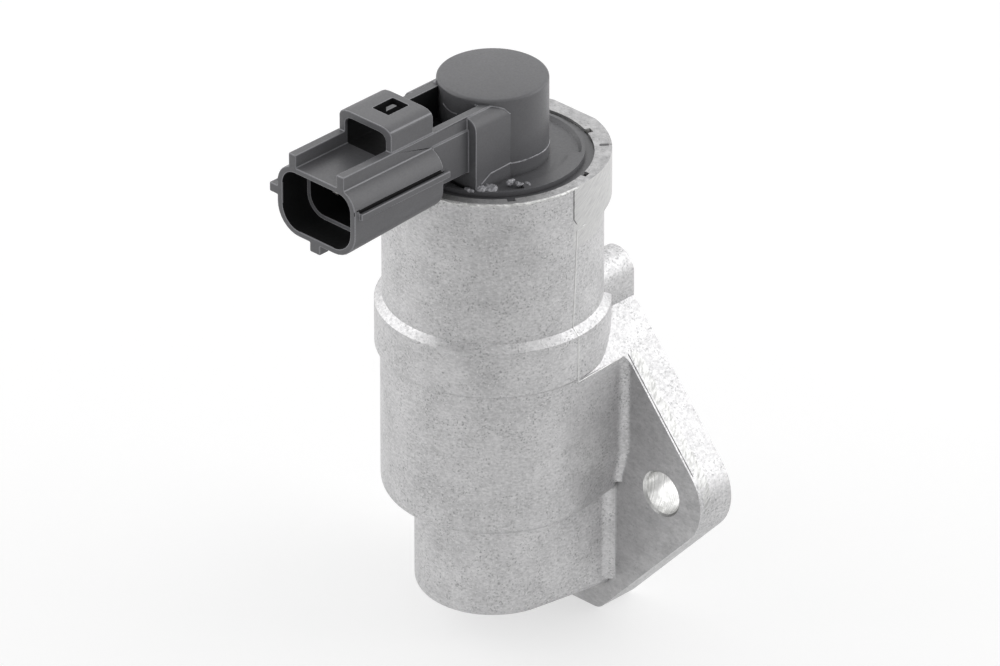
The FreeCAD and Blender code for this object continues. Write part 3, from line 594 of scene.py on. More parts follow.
def cut_group():
    """Turned, milled or torn metal: fine rings about an axis and streaks, with colour variation."""
    group, start, end = new_group(
        "cut_marks", Place=(0.0, 0.0, 0.0), Light=(0.8, 0.8, 0.8, 1), Dark=(0.4, 0.4, 0.4, 1),
        Stretch=(1.0, 1.0, 1.0), Scale=900.0, Ring_Pitch=0.0, Roughness=0.3)
    place = start.outputs["Place"]
    stretched = add_node(group, "ShaderNodeVectorMath", operation="MULTIPLY")
    group.links.new(place, stretched.inputs[0])
    group.links.new(start.outputs["Stretch"], stretched.inputs[1])
    streak = scaled_noise(group, stretched.outputs["Vector"], start.outputs["Scale"], 4.0, 0.6)
    radius = add_node(group, "ShaderNodeVectorMath", operation="LENGTH")
    group.links.new(moved(group, place, "MULTIPLY", (1.0, 1.0, 0.0)), radius.inputs[0])
    turns = maths(group, "MULTIPLY", radius.outputs["Value"], start.outputs["Ring Pitch"])
    rings = add_node(group, "ShaderNodeTexNoise", {"Scale": 1.0, "Detail": 3.0}, noise_dimensions="1D")
    group.links.new(turns, rings.inputs["W"])
    both = weighted(group, 0.0, (streak, 0.55), (rings.outputs["Fac"], 0.45))
    shade = ranged(group, both, 0.38, 0.64)
    rough = weighted(group, 0.0, (start.outputs["Roughness"], 1.0), (shade, 0.15))
    return close_group(group, start, end, shade, rough, both)


def finish_material(name, group, light, dark, roughness, bump, depth, turn=(0, 0, 0), centre=None,
                    crevice_shade=0.0, reach=1.2, shade_range=(0.35, 0.85), **sockets):
    """A material whose colour, roughness and relief come from one of the shared groups. The pattern
    may be turned and centred on the piece, and painted shade from ambient occlusion darkens the
    crevices. Depth and reach are in millimetres. Other sockets are set on the group where it has
    them, or else on the shader."""
    material = bpy.data.materials.new(name)
    material.use_nodes = True
    tree = material.node_tree
    link = tree.links.new
    shader = tree.nodes["Principled BSDF"]
    surface = add_node(tree, "ShaderNodeGroup", node_tree=group)
    surface.inputs["Light"].default_value = (*light, 1.0)
    surface.inputs["Dark"].default_value = (*dark, 1.0)
    for socket, value in dict(sockets, Roughness=roughness).items():
        socket = socket.replace("_", " ")
        owner = surface if socket in surface.inputs else shader
        owner.inputs[socket].default_value = value
    mapping = add_node(tree, "ShaderNodeMapping", vector_type="TEXTURE")
    mapping.inputs["Location"].default_value = centre or (0.0, AXIS_Y, 0.0)
    mapping.inputs["Rotation"].default_value = [math.radians(angle) for angle in turn]
    link(tree.nodes.new("ShaderNodeTexCoord").outputs["Object"], mapping.inputs["Vector"])
    link(mapping.outputs["Vector"], surface.inputs["Place"])
    relief = add_node(tree, "ShaderNodeBump", {"Strength": bump, "Distance": depth * MM})
    link(surface.outputs["Height"], relief.inputs["Height"])
    link(relief.outputs["Normal"], shader.inputs["Normal"])
    colour = surface.outputs["Color"]
    # Painted shade: ambient occlusion mixes a near-black tone into the base colour in crevices and corners.
    if crevice_shade:
        open_air = add_node(tree, "ShaderNodeAmbientOcclusion", {"Distance": reach * MM}, samples=12,
                            only_local=True)
        shade_share = ranged(tree, open_air.outputs["AO"], *shade_range, crevice_shade, 0.0)
        shade_tone = tree.nodes.new("ShaderNodeRGB")
        shade_tone.outputs[0].default_value = (0.02, 0.02, 0.02, 1.0)
        colour = mixed(tree, shade_share, colour, shade_tone.outputs[0])
    link(colour, shader.inputs["Base Color"])
    link(surface.outputs["Roughness"], shader.inputs["Roughness"])
    return material


def tone(colour, share):
    """The same colour at a share of its brightness."""
    return [channel * share for channel in colour]


def metal_materials(finish, skin, cut):
    """The finishes of the casting: its skin, its worked faces and its torn edges, with a painted
    highlight on its broken edges and seams, and painted shade on its flange front, rim top and dark lines.
    """
    light, dark, bright = finish.cast_light, finish.cast_dark, finish.bright_metal
    return {
        "casting": finish_material(
            "die_cast_skin", skin, light, dark, 0.47, 0.4, 0.06, crevice_shade=0.6, Specks=0.85, Metallic=0.85),
        # Partly painted shade: the flange's front face has a smoother, finer skin, and is also painted darker
        # as a face that takes less light.
        "cast_plain": finish_material(
            "die_cast_flat_painted_shade", skin, tone(light, 0.82), tone(dark, 0.92), 0.40, 0.3, 0.05, crevice_shade=0.6,
            Mottle_Scale=1100.0, Cloud_Scale=260.0, Specks=0.35, Metallic=0.9),
        # Painted shade: the rim's upward faces are painted darker than the cast skin.
        "rim_face": finish_material(
            "rim_top_painted_shade", skin, tone(light, 0.72), tone(dark, 0.75), 0.50, 0.5, 0.08, crevice_shade=0.6,
            Mottle_Scale=1000.0, Cloud_Scale=320.0, Specks=0.6, Metallic=0.8),
        # Painted highlight: the casting's bevelled edges and its seam ribs take a cut-metal brightness.
        "cast_edge": finish_material(
            "die_cast_edge_highlight", skin, bright, tone(light, 0.85), 0.36, 0.3, 0.05, Specks=0.3, Metallic=0.95),
        # Painted shadow: the near-black finish of the thin dark lines laid into the casting's creases.
        "shadow_line": finish_material(
            "seam_shadow", skin, tone(dark, 0.45), tone(dark, 0.25), 0.6, 0.2, 0.04, Metallic=0.5),
        "sanded": finish_material(
            "sanded_patch", cut, tone(bright, 0.88), tone(light, 0.80), 0.42, 0.25, 0.03, turn=(32, 0, 0),
            Stretch=(1.0, 0.22, 2.2), Scale=2100.0, Metallic=0.9),
        "machined": finish_material(
            "machined_face", cut, bright, tone(bright, 0.62), 0.26, 0.35, 0.05, Ring_Pitch=9000.0,
            Scale=500.0, Metallic=1.0),
        "milled": finish_material(
            "milled_face", cut, bright, tone(bright, 0.68), 0.24, 0.3, 0.04, turn=(90, 0, 0),
            centre=(0.070, 0.0, 0.040), Ring_Pitch=3200.0, Scale=420.0, Metallic=1.0),
        "torn": finish_material(
            "torn_trim", cut, tone(bright, 0.92), tone(bright, 0.50), 0.40, 0.8, 0.08, turn=(38, 0, 0),
            Stretch=(1.0, 0.24, 1.6), Scale=1700.0, Metallic=0.9),
        "burr": finish_material(
            "staking_burr", cut, tone(bright, 1.15), tone(bright, 0.75), 0.45, 0.5, 0.06, Scale=1500.0,
            Metallic=0.6)}


def plastic_materials(finish, skin):
    """The finishes of the moulding, its edges with a painted highlight, its step with painted light, its
    deep places with painted shade and its flash, and of the rubber.
    """
    black, rubber = finish.plastic, finish.rubber
    return {
        "plastic": finish_material(
            "black_moulding", skin, black, tone(black, 0.75), 0.37, 0.10, 0.04, crevice_shade=0.85, reach=1.8,
            shade_range=(0.25, 0.75), Mottle_Scale=2600.0, Cloud_Scale=130.0, Speck_Scale=4200.0,
            Specks=0.25, IOR=1.52),
        # Painted highlight: the moulding's bevelled edges are painted lighter than the black skin.
        "plastic_edge": finish_material(
            "black_moulding_edge_highlight", skin, tone(black, 2.2), tone(black, 1.6), 0.28, 0.1, 0.03, crevice_shade=0.7,
            reach=1.5, shade_range=(0.10, 0.45), Mottle_Scale=2600.0, Cloud_Scale=300.0, Specks=0.1,
            IOR=1.52),
        # Painted light: the step face inside the mouth is painted brighter than the moulding.
        "plastic_lit_step": finish_material(
            "black_moulding_lit_step", skin, tone(black, 1.5), tone(black, 1.1), 0.30, 0.1, 0.03, Specks=0.1,
            IOR=1.52),
        # Painted shade: the mouth's inside, the latch tunnel, the pocket and the grooves are painted near
        # black.
        "plastic_painted_shade": finish_material(
            "black_moulding_painted_shade", skin, tone(black, 0.10), tone(black, 0.07), 0.6, 0.1, 0.03, Specks=0.1,
            IOR=1.25),
        "flash": finish_material(
            "moulding_flash", skin, tone(black, 3.2), tone(black, 1.8), 0.30, 0.3, 0.05,
            Mottle_Scale=2200.0, Cloud_Scale=500.0, Specks=0.4, IOR=1.52),
        "bobbin": finish_material(
            "bobbin_moulding", skin, tone(black, 0.9), tone(black, 0.6), 0.45, 0.12, 0.04,
            Mottle_Scale=3200.0, Cloud_Scale=200.0, Specks=0.1, IOR=1.5),
        "rubber": finish_material(
            "seal_rubber", skin, rubber, tone(rubber, 0.6), 0.62, 0.2, 0.04, Mottle_Scale=2600.0,
            Cloud_Scale=260.0, Specks=0.2, IOR=1.52)}


def make_materials(finish):
    """Every finish of the valve, by name."""
    skin = skin_group()
    cut = cut_group()
    made = {**metal_materials(finish, skin, cut), **plastic_materials(finish, skin)}
    for name, colour, pitch, rough in (("steel", finish.steel, 11000.0, 0.30),
                                       ("spring_steel", finish.steel, 3000.0, 0.22),
                                       ("brass", finish.brass, 12000.0, 0.25),
                                       ("copper", finish.copper, 2000.0, 0.28),
                                       ("tin", finish.tin, 1500.0, 0.30)):
        made[name] = finish_material(name + "_finish", cut, tone(colour, 1.1), tone(colour, 0.78), rough,
                                     0.2, 0.03, Ring_Pitch=pitch, Scale=700.0, Metallic=1.0)
    return made


def material(name):
    """One of the finishes, made on first use."""
    if not finishes:
        finishes.update(make_materials(bpy.context.scene.valve_finish))
    return finishes[name]


finishes = {}


def dress_nodes(body, edge, *rows):
    """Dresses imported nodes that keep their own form, each given with its slot and its finish."""
    for node, slot, finish in rows:
        dress(dressed_copy(node, edge), body, slot, material(finish))


# The casting


def edge_direction():
    """Unit vector down the flange's slanted edge, its outward normal and its two tangent points,
    all in the X-Z plane."""
    ear = Vector((BOLT_X, 0.0))
    along = ear - TOP_CORNER
    length = along.length
    along.normalize()
    side = Vector((-along.y, along.x))
    lean = (TOP_CORNER_R - EAR_R) / length
    out = along * lean + side * math.sqrt(1 - lean * lean)
    start = TOP_CORNER + out * TOP_CORNER_R
    end = ear + out * EAR_R
    return (end - start).normalized(), out, start, end


def seam_rib(name, start, end, width, height, out, seed):
    """A thin raised line of flash from one point to another, half sunk in the casting."""
    length = (end - start).length
    rib = primitive(bpy.ops.mesh.primitive_cylinder_add, name, vertices=10, radius=width / 2,
                    depth=length)
    along = (end - start).normalized()
    across = along.cross(out).normalized()
    rib.data.transform(Matrix.Diagonal((1.0, 2 * height / width, 1.0, 1.0)))
    turn = Matrix((across, along.cross(across), along)).transposed().to_4x4()
    rib.data.transform(Matrix.Translation((start + end) / 2) @ turn)
    activate(rib)
    bpy.ops.object.mode_set(mode="EDIT")
    bpy.ops.mesh.select_all(action="DESELECT")
    mesh = bmesh.from_edit_mesh(rib.data)
    long_edges = [e for e in mesh.edges if abs((e.verts[0].co - e.verts[1].co).dot(along)) > length / 2]
    for edge in long_edges:
        edge.select_set(True)
    bmesh.update_edit_mesh(rib.data)
    bpy.ops.mesh.subdivide(number_cuts=max(4, int(length / (0.8 * MM))))
    bpy.ops.object.mode_set(mode="OBJECT")
    roughen(rib, height * 0.9, 0.9 * MM, seed)
    return rib


def shoulder_point():
    """Where the slanted edge meets the shoulder's lower edge, in the X-Z plane."""
    along, _, start, _ = edge_direction()
    return start + along * ((start.y - COLLAR_LOW) / -along.y)


def casting_seams(detail):
    """The parting line of the two die halves: down both sides of the tube and collar, and out
    along the shoulder's lower edge."""
    ribs = []
    width = detail.seam_width * MM
    height = detail.seam_height * MM
    lean = SEAM_LEAN * MM
    bend = SEAM_BEND * MM
    lean_x = math.sqrt(TUBE_R ** 2 - lean ** 2)
    rim_x = math.sqrt(RIM_R ** 2 - (lean + bend - RIM_SHIFT) ** 2)
    for side in (-1, 1):
        sideways = Vector((side, 0, 0))
        runs = [((COLLAR_R, 0, COLLAR_LOW), (COLLAR_R, 0, COLLAR_TOP), sideways),
                ((COLLAR_R, 0, COLLAR_TOP), (TUBE_R, 0, LEDGE_TOP), Vector((side, 0, 1))),
                ((TUBE_R, 0, LEDGE_TOP), (lean_x, lean, RIM_STEP - 0.3 * MM), sideways),
                ((lean_x, lean, RIM_STEP - 0.3 * MM), (rim_x, lean + bend, RIM_STEP + 0.2 * MM), sideways)]
        for number, (foot, head, out) in enumerate(runs):
            points = [Vector((side * r, AXIS_Y + y, z)) for r, y, z in (foot, head)]
            ribs.append(seam_rib("seam", points[0], points[1], width, height, out, number + side))
        out_x = side * (shoulder_point().x - 0.05 * MM)
        ribs.append(seam_rib("seam", Vector((side * COLLAR_R, AXIS_Y, COLLAR_LOW)),
                             Vector((out_x, FLANGE_FRONT, COLLAR_LOW)), width, height,
                             Vector((side, 0, -1)), side + 5))
    seams = joined(ribs, "casting_seams")
    smooth(seams, 60)
    return seams


def seam_shadows():
    """Fine dark lines of painted shadow: between the tube and the part of the rim that stands out,
    under the collar and the shoulder, in the slit of the rim, and where the trimmed band starts."""
    _, slant, _, end = edge_direction()
    first = shoulder_point()
    ring = primitive(bpy.ops.mesh.primitive_torus_add, "shadow_line", major_radius=LOWER_R, minor_radius=0.09 * MM,
                     major_segments=180, minor_segments=8, location=(0, AXIS_Y, COLLAR_LOW - 0.02 * MM))
    settle(ring)
    ribs = [ring]
    turn = math.radians(SLIT_ANGLE)
    outward = Vector((math.cos(turn), math.sin(turn), 0))
    foot = Vector((0, AXIS_Y, RIM_TOP))
    ribs.append(seam_rib("shadow_line", foot + outward * (LIP_R + 0.85 * MM), foot + outward * (TUBE_R + 0.75 * MM),
                         0.62 * MM, 0.08 * MM, Vector((0, 0, 1)), 3))
    x = TUBE_R + 0.12 * MM
    y = FLANGE_FRONT + 0.42 * MM
    below = LOWER_R + 0.02 * MM
    under = COLLAR_LOW - 0.14 * MM
    sideways = (1, 0, 0)
    low = (x, AXIS_Y, RIM_STEP + 2.0 * MM)
    runs = ((low, (x, AXIS_Y, RIM_TOP - 0.4 * MM), 0.16, 0.04, sideways, 7),
            (low, (x, AXIS_Y + 0.7 * MM, RIM_STEP + 0.9 * MM), 0.14, 0.04, sideways, 8),
            ((first.x, y, first.y), (end.x, y, end.y), 0.16, 0.04, (slant.x, 0, slant.y), 11),
            ((below, AXIS_Y + 1.0 * MM, under), (below, FLANGE_FRONT - 1.5 * MM, under), 0.2, 0.05,
             sideways, 13))
    for side in (-1, 1):
        mirror = Vector((side, 1, 1))
        for start, stop, width, height, out, seed in runs:
            start, stop, out = (Vector(point) * mirror for point in (start, stop, out))
            ribs.append(seam_rib("shadow_line", start, stop, width * MM, height * MM, out, seed + side))
    shadows = joined(ribs, "seam_shadows")
    smooth(shadows, 60)
    return shadows


def trim_strip(side, seed):
    """The band on the flange's edge where the flash was sheared off, from the shoulder to the ear."""
    along, out, _, end = edge_direction()
    first_point = shoulder_point()
    straight = (end - first_point).length
    steps = 130
    points = [first_point + along * (straight * i / steps) for i in range(steps + 1)]
    normals = [out] * len(points)
    first = math.atan2(out.y, out.x)
    last = math.radians(-4)
    turns = 40
    for i in range(1, turns + 1):
        angle = first + (last - first) * i / turns
        normal = Vector((math.cos(angle), math.sin(angle)))
        points.append(Vector((BOLT_X, 0.0)) + normal * EAR_R)
        normals.append(normal)
    rows = 12
    strip = primitive(bpy.ops.mesh.primitive_grid_add, "trimmed_edge", x_subdivisions=len(points) - 1,
                      y_subdivisions=rows, size=1.0)
    front = FLANGE_FRONT + 0.55 * MM
    width = PARTING_Y - front
    for vertex in strip.data.vertices:
        index = round((vertex.co.x + 0.5) * (len(points) - 1))
        share = vertex.co.y + 0.5
        point, normal = points[index], normals[index]
        fade = min(1.0, (len(points) - 1 - index) / turns)
        edge = min(1.0, 5 * min(share, 1 - share))
        torn = noise.noise(Vector((index * 0.30 + share * 3.0, share * 1.5, seed * 4.0)))
        fine = noise.noise(Vector((index * 1.10 + share * 7.0, share * 5.0, seed * 9.0)))
        lift = TRIM_LIFT * MM * (0.5 + 0.5 * torn + 0.3 * fine) * edge * (0.25 + 0.75 * fade)
        place = point + normal * (lift - 0.02 * MM)
        wander = 0.22 * MM * noise.noise(Vector((index * 0.12, 3.0, seed))) * share
        vertex.co = Vector((side * place.x, front + share * width + wander, place.y))
    strip.data.update()
    apply_modifier(strip, "SOLIDIFY", thickness=0.12 * MM, offset=-1.0 if side > 0 else 1.0)
    outwards(strip)
    smooth(strip, 25)
    return strip


def rim_burr(detail):
    """The thin torn burr that staking leaves on the outer edge of the rim. It is coarse at the
    front and dies away to a fine bright line behind."""
    size = detail.burr_size * MM
    burr = primitive(bpy.ops.mesh.primitive_torus_add, "rim_burr", major_radius=TUBE_R - 0.2 * size,
                     minor_radius=size, major_segments=420, minor_segments=10,
                     location=(0, AXIS_Y, RIM_TOP - 1.3 * size))
    settle(burr)
    for vertex in burr.data.vertices:
        flat = Vector((vertex.co.x, vertex.co.y - AXIS_Y))
        angle = math.atan2(flat.y, flat.x)
        outward = flat / flat.length
        shift = max(0.0, math.sin(angle)) * RIM_SHIFT
        torn = max(0.0, math.cos(angle - BURR_MIDDLE)) ** 3
        ragged = noise.noise(Vector((math.cos(angle) * 26, math.sin(angle) * 26, 1.0)))
        fine = noise.noise(Vector((math.cos(angle) * 75, math.sin(angle) * 75, vertex.co.z / (0.2 * MM))))
        vertex.co.y += shift
        vertex.co.z += min(0.12 * MM, 0.2 * MM * (ragged + 0.5 * fine) * torn)
        pull = (0.10 + 0.30 * fine) * MM * torn
        vertex.co.x += outward.x * pull
        vertex.co.y = min(vertex.co.y + outward.y * pull, cad_high.y)
    burr.data.update()
    smooth(burr, 60)
    return burr


class VALVE_OT_casting(bpy.types.Operator):
    """Dresses the die-cast body: skin, cut faces, parting seams, lines of painted shadow, trimmed edges and
    the staked rim
    """

    bl_idname = "valve.casting"
    bl_label = "Casting"

    def zone(self, centre, normal):
        """Which finish a face of the casting takes, or nothing where it keeps its own."""
        from_axis = Vector((centre.x, centre.y - AXIS_Y)).length
        from_bolt = Vector((abs(centre.x) - BOLT_X, centre.z)).length
        if normal.y > 0.9 and centre.y > -2 * MM and centre.z < COLLAR_TOP + 8 * MM:
            return 3
        # The rim's upward faces take painted shade.
        if normal.z > 0.9 and centre.z > RIM_TOP - 1.3 * MM:
            return 6
        if abs(normal.z) < 0.5 and from_axis < LIP_R + 0.8 * MM and centre.z > COLLAR_LOW:
            return 2
        if from_bolt < BOLT_HOLE_R + 0.5 * MM and centre.y > FLANGE_FRONT - 0.1 * MM:
            return 2
        # The flange's front face: smoother skin, painted darker as shade.
        if normal.y < -0.95 and abs(centre.y - FLANGE_FRONT) < 0.3 * MM and centre.z < COLLAR_LOW:
            return 4
        sideways = abs(normal.x) > 0.75 and centre.y > AXIS_Y
        if sideways and centre.z > SLOPE_LOW and from_axis > TUBE_R - 0.3 * MM:
            return 5
        return None

    def execute(self, context):
        detail = context.scene.valve_detail
        borders = (((0, 0, SLOPE_LOW), (0, 0, 1)), ((0, AXIS_Y, 0), (0, 1, 0)))
        body = dressed_copy("valve_housing", detail.cast_edge * MM, cuts=borders)
        for polygon in body.data.polygons:
            zone = self.zone(polygon.center, polygon.normal)
            if zone is not None:
                polygon.material_index = zone
        dress(body, "housing", "cast_body", material("casting"), material("cast_edge"), material("machined"),
              material("milled"), material("cast_plain"), material("sanded"), material("rim_face"))
        # The seam ribs are real flash; their bright edge finish is a painted highlight.
        dress(casting_seams(detail), "housing", "cast_body", material("cast_edge"))
        dress(seam_shadows(), "housing", "cast_body", material("shadow_line"))
        dress(rim_burr(detail), "housing", "cast_body", material("burr"))
        for side, name in ((1, "trimmed_edge_right"), (-1, "trimmed_edge_left")):
            strip = trim_strip(side, 2.0 + side)
            strip.name = name
            dress(strip, "housing", "cast_body", material("torn"))
        return {"FINISHED"}


# The moulding and its terminals


def socket_outline(size, trim_side, trim_end):
    """The outline of the socket, drawn in by its walls."""
    middle = size.height * MM / 2
    return rounded_outline(size.half * MM - trim_side, SOCKET_AXIS - middle + trim_end,
                           SOCKET_AXIS + middle - trim_end, LOWER_CORNER_R - trim_end, CORNER_R - trim_end)


def bridge_outline(half, foot, top, trim):
    """The section of the latch bridge, with its upper corners rounded off in three steps."""
    run, drop = BRIDGE_ROUND
    points = [(half - trim, foot)]
    for step in range(4):
        turn = math.pi / 2 * step / 3
        points.append((half - trim - (run - trim / 2) * (1 - math.cos(turn)),
                       top - trim - drop * (1 - math.sin(turn))))
    return points + [(-x, z) for x, z in reversed(points)]


def socket_body(size):
    """The socket shell with its rails, latch bridge, strips and keys, the neck and the block."""
    half = size.half * MM
    low = SOCKET_AXIS - size.height * MM / 2
    high = SOCKET_AXIS + size.height * MM / 2
    back = MOUTH + size.length * MM
    rail_out = size.rail_out * MM
    rail_in = rail_out - size.rail_thick * MM
    side_wall = size.side_wall * MM
    end_wall = size.end_wall * MM
    bridge_half = rail_out - BRIDGE_INSET
    bridge_top = high + BRIDGE_RISE
    body = prism("socket_body", socket_outline(size, 0, 0), MOUTH, back, lift=SOCKET_TAPER)
    shoulder = rounded_outline(BLOCK_HALF, DISC_TOP - 0.5 * MM, BLOCK_TOP, 0.05 * MM, BLOCK_EDGE_R)
    added = [block("neck", (-NECK_HALF, back - 0.02 * MM, SOCKET_AXIS - NECK_DROP),
                   (NECK_HALF, BLOCK_FRONT + MM, high)),
             prism("shoulder", shoulder, BLOCK_FRONT, AXIS_Y - 2.0 * MM),
             prism("bridge", bridge_outline(bridge_half, high - end_wall / 2, bridge_top, 0),
                   BRIDGE_FRONT, BRIDGE_BACK)]
    cut = []
    for side in (-1, 1):
        added.append(block("rail", (side * rail_in, MOUTH, high - CORNER_R),
                           (side * rail_out, AXIS_Y - STUB_R / 2, RAIL_TOP)))
        added.append(block("strip", (side * (half - GROOVE_DEPTH), MOUTH + MM, STRIP_TOP - STRIP_HEIGHT),
                           (side * (half + STRIP_PROUD), back + 1.1 * MM, STRIP_TOP)))
        cut.append(block("groove", (side * (half - GROOVE_DEPTH), MOUTH + MM, STRIP_TOP),
                         (side * (half + MM), back, STRIP_TOP + GROOVE_HEIGHT)))
    proud, key_low, key_top = SIDE_KEY
    added.append(block("side_key", (-half - proud, MOUTH, key_low),
                       (GROOVE_DEPTH - half, MOUTH + KEY_DEPTH, key_top)))
    left, right, drop = FOOT_KEY
    added.append(block("foot_key", (left, MOUTH, low - drop), (right, MOUTH + KEY_DEPTH, low + end_wall / 2)))
    cut.append(prism("tunnel", bridge_outline(bridge_half, high, bridge_top, BRIDGE_WALL),
                     BRIDGE_FRONT - MM, BRIDGE_BACK + MM))
    window = BRIDGE_FRONT + WINDOW_SETBACK
    cut.append(block("window", (-WINDOW_HALF, window, bridge_top - 2 * BRIDGE_WALL),
                     (WINDOW_HALF, window + WINDOW_LENGTH, bridge_top + MM)))
    cut.append(block("pocket", (-rail_in, BRIDGE_BACK, high - POCKET_DEPTH),
                     (rail_in, AXIS_Y, RAIL_TOP + MM)))
    cut.append(prism("mouth", socket_outline(size, side_wall, end_wall), MOUTH - MM, MOUTH + STEP_DEPTH))
    cut.append(prism("inner_mouth", socket_outline(size, side_wall + SOCKET_STEP, end_wall + SOCKET_STEP),
                     MOUTH - MM, MOUTH + SOCKET_DEPTH))
    for piece in added:
        combine(body, piece, "UNION")
    for piece in cut:
        combine(body, piece, "DIFFERENCE")
    for place, direction in (((0, 0, 0), (1, 0, 0)), ((0, BRIDGE_FRONT + 0.6 * MM, 0), (0, 1, 0)),
                             ((0, BRIDGE_BACK, 0), (0, 1, 0)), ((0, BLOCK_FRONT, 0), (0, 1, 0))):
        slice_mesh(body, place, direction)
    square = {"face_threshold": math.radians(1), "shape_threshold": math.radians(60)}
    edit_all(body, (bpy.ops.mesh.remove_doubles, {"threshold": 0.05 * MM}),
             (bpy.ops.mesh.dissolve_degenerate, {"threshold": 0.06 * MM}),
             (bpy.ops.mesh.quads_convert_to_tris, {"quad_method": "BEAUTY", "ngon_method": "BEAUTY"}),
             (bpy.ops.mesh.tris_convert_to_quads, square))
    return body


def stub():
    """The round stub over the core, with a slightly domed top and a small edge radius."""
    bore = (core_high.x - core_low.x) / 2 + 0.05 * MM
    flat_r = STUB_R - STUB_EDGE_R
    edge_z = STUB_TOP - STUB_DOME * (flat_r / STUB_R) ** 2 - STUB_EDGE_R
    profile = [(bore, DISC_TOP - MM), (STUB_R, DISC_TOP - MM)]
    for step in range(5):
        turn = math.pi / 2 * step / 4
        profile.append((flat_r + STUB_EDGE_R * math.cos(turn), edge_z + STUB_EDGE_R * math.sin(turn)))
    for step in range(1, 9):
        radius = flat_r * (1 - step / 8)
        profile.append((radius, STUB_TOP - STUB_DOME * (radius / STUB_R) ** 2))
    profile += [(0.0, core_high.z + 0.05 * MM), (bore, core_high.z + 0.05 * MM)]
    return turned("stub", profile, 144)


def disc():
    """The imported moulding's disc alone, with the plate inside its ridge sunk a little deeper."""
    plate = merged_copy("connector_cap")
    for front, back, foot in ((MOUTH - MM, AXIS_Y - TUBE_R, cap_low.z - MM),
                              (AXIS_Y - TUBE_R - MM, AXIS_Y + TUBE_R, STEP_TOP + 0.01 * MM)):
        combine(plate, block("cut", (-TUBE_R, front, foot), (TUBE_R, back, cap_high.z + MM)), "DIFFERENCE")
    for vertex in plate.data.vertices:
        if abs(vertex.co.z - PLATE_TOP) < 0.01 * MM:
            vertex.co.z -= PLATE_SINK
    return plate


def ribs_along(name, points, width, height, outs, seed):
    """Thin ribs from point to point, each with its own direction out of the surface."""
    return [seam_rib(name, start, end, width * MM, height * MM, out, seed + number)
            for number, (start, end, out) in enumerate(zip(points, points[1:], outs))]


def lump(name, radius, stretch, amount, grain, seed, place):
    """A small torn lump of the moulding, with its sizes in millimetres."""
    mark = primitive(bpy.ops.mesh.primitive_ico_sphere_add, name, subdivisions=4, radius=radius * MM)
    mark.data.transform(Matrix.Diagonal((*stretch, 1.0)))
    roughen(mark, amount * MM, grain * MM, seed)
    mark.data.transform(Matrix.Translation(place))
    return mark


def cap_marks():
    """Small traces of the mould: the flash line round the foot of the block and the stub, two torn
    gate marks on the disc, a nub where the left rail meets the stub, and a streak in the pocket.
    A light rib along the block's top edge by the stub is a painted highlight."""
    line = [Vector((BLOCK_HALF, AXIS_Y - 10.6 * MM, FLASH_HEIGHT - 1.1 * MM)),
            Vector((BLOCK_HALF, AXIS_Y - 8.6 * MM, FLASH_HEIGHT)),
            Vector((BLOCK_HALF, AXIS_Y - 4.1 * MM, FLASH_HEIGHT + 0.1 * MM))]
    for degrees in range(-27, 70, 8):
        turn = math.radians(degrees)
        fall = 0.9 * MM * max(0.0, degrees / 60.0)
        line.append(Vector((STUB_R * math.cos(turn), AXIS_Y + STUB_R * math.sin(turn), FLASH_HEIGHT - fall)))
    outs = [Vector((1, 0, 0))] * 3 + [Vector((p.x, p.y - AXIS_Y, 0)).normalized() for p in line[3:]]
    marks = ribs_along("flash", line, 0.26, 0.08, outs, 0)
    # Painted highlight: a light rib, in the flash's finish, along the block's top edge where it meets the
    # stub.
    crest_highlight = []
    for degrees in range(26, 63, 6):
        turn = math.radians(degrees)
        x = STUB_R * math.sin(turn)
        past = max(0.0, x - (BLOCK_HALF - BLOCK_EDGE_R))
        z = BLOCK_TOP - BLOCK_EDGE_R + math.sqrt(BLOCK_EDGE_R ** 2 - past ** 2)
        crest_highlight.append(Vector((x, AXIS_Y - 1.012 * STUB_R * math.cos(turn), z + 0.06 * MM)))
    marks += ribs_along("crest_highlight", crest_highlight, 0.24, 0.08, [Vector((0, 0, 1))] * len(crest_highlight), 30)
    streak = [Vector((STUB_R * math.sin(turn), AXIS_Y - STUB_R * math.cos(turn), POCKET_STREAK + rise * MM))
              for turn, rise in ((math.radians(-17), 0.5), (math.radians(-10), 0.1), (math.radians(-3), -0.1),
                                 (math.radians(5), 0.0))]
    marks += ribs_along("streak", streak, 0.26, 0.05, [Vector((0, -1, 0))] * len(streak), 20)
    lumps = [((8.7, -9.6, 0.0), (2.6, 2.2, 0.7)), ((8.0, -11.0, 0.05), (1.8, 1.5, 1.1)),
             ((6.8, -12.3, 0.0), (1.9, 0.9, 0.5)), ((11.0, -5.5, 0.0), (1.3, 1.1, 0.6)),
             ((9.8, -6.2, 0.1), (0.8, 1.7, 1.0)), ((12.0, -4.5, 0.0), (1.2, 0.6, 0.3))]
    for number, ((x, y, z), stretch) in enumerate(lumps):
        place = (x * MM, AXIS_Y + y * MM, STEP_TOP + z * MM)
        marks.append(lump("gate_mark", 0.5, stretch, 0.22, 0.35, number, place))
    nub_place = (-5.35 * MM, AXIS_Y - 7.2 * MM, RAIL_TOP - 0.2 * MM)
    marks.append(lump("nub", 0.45, (0.9, 0.6, 1.3), 0.12, 0.3, 9, nub_place))
    marks = joined(marks, "moulding_marks")
    smooth(marks, 60)
    return marks


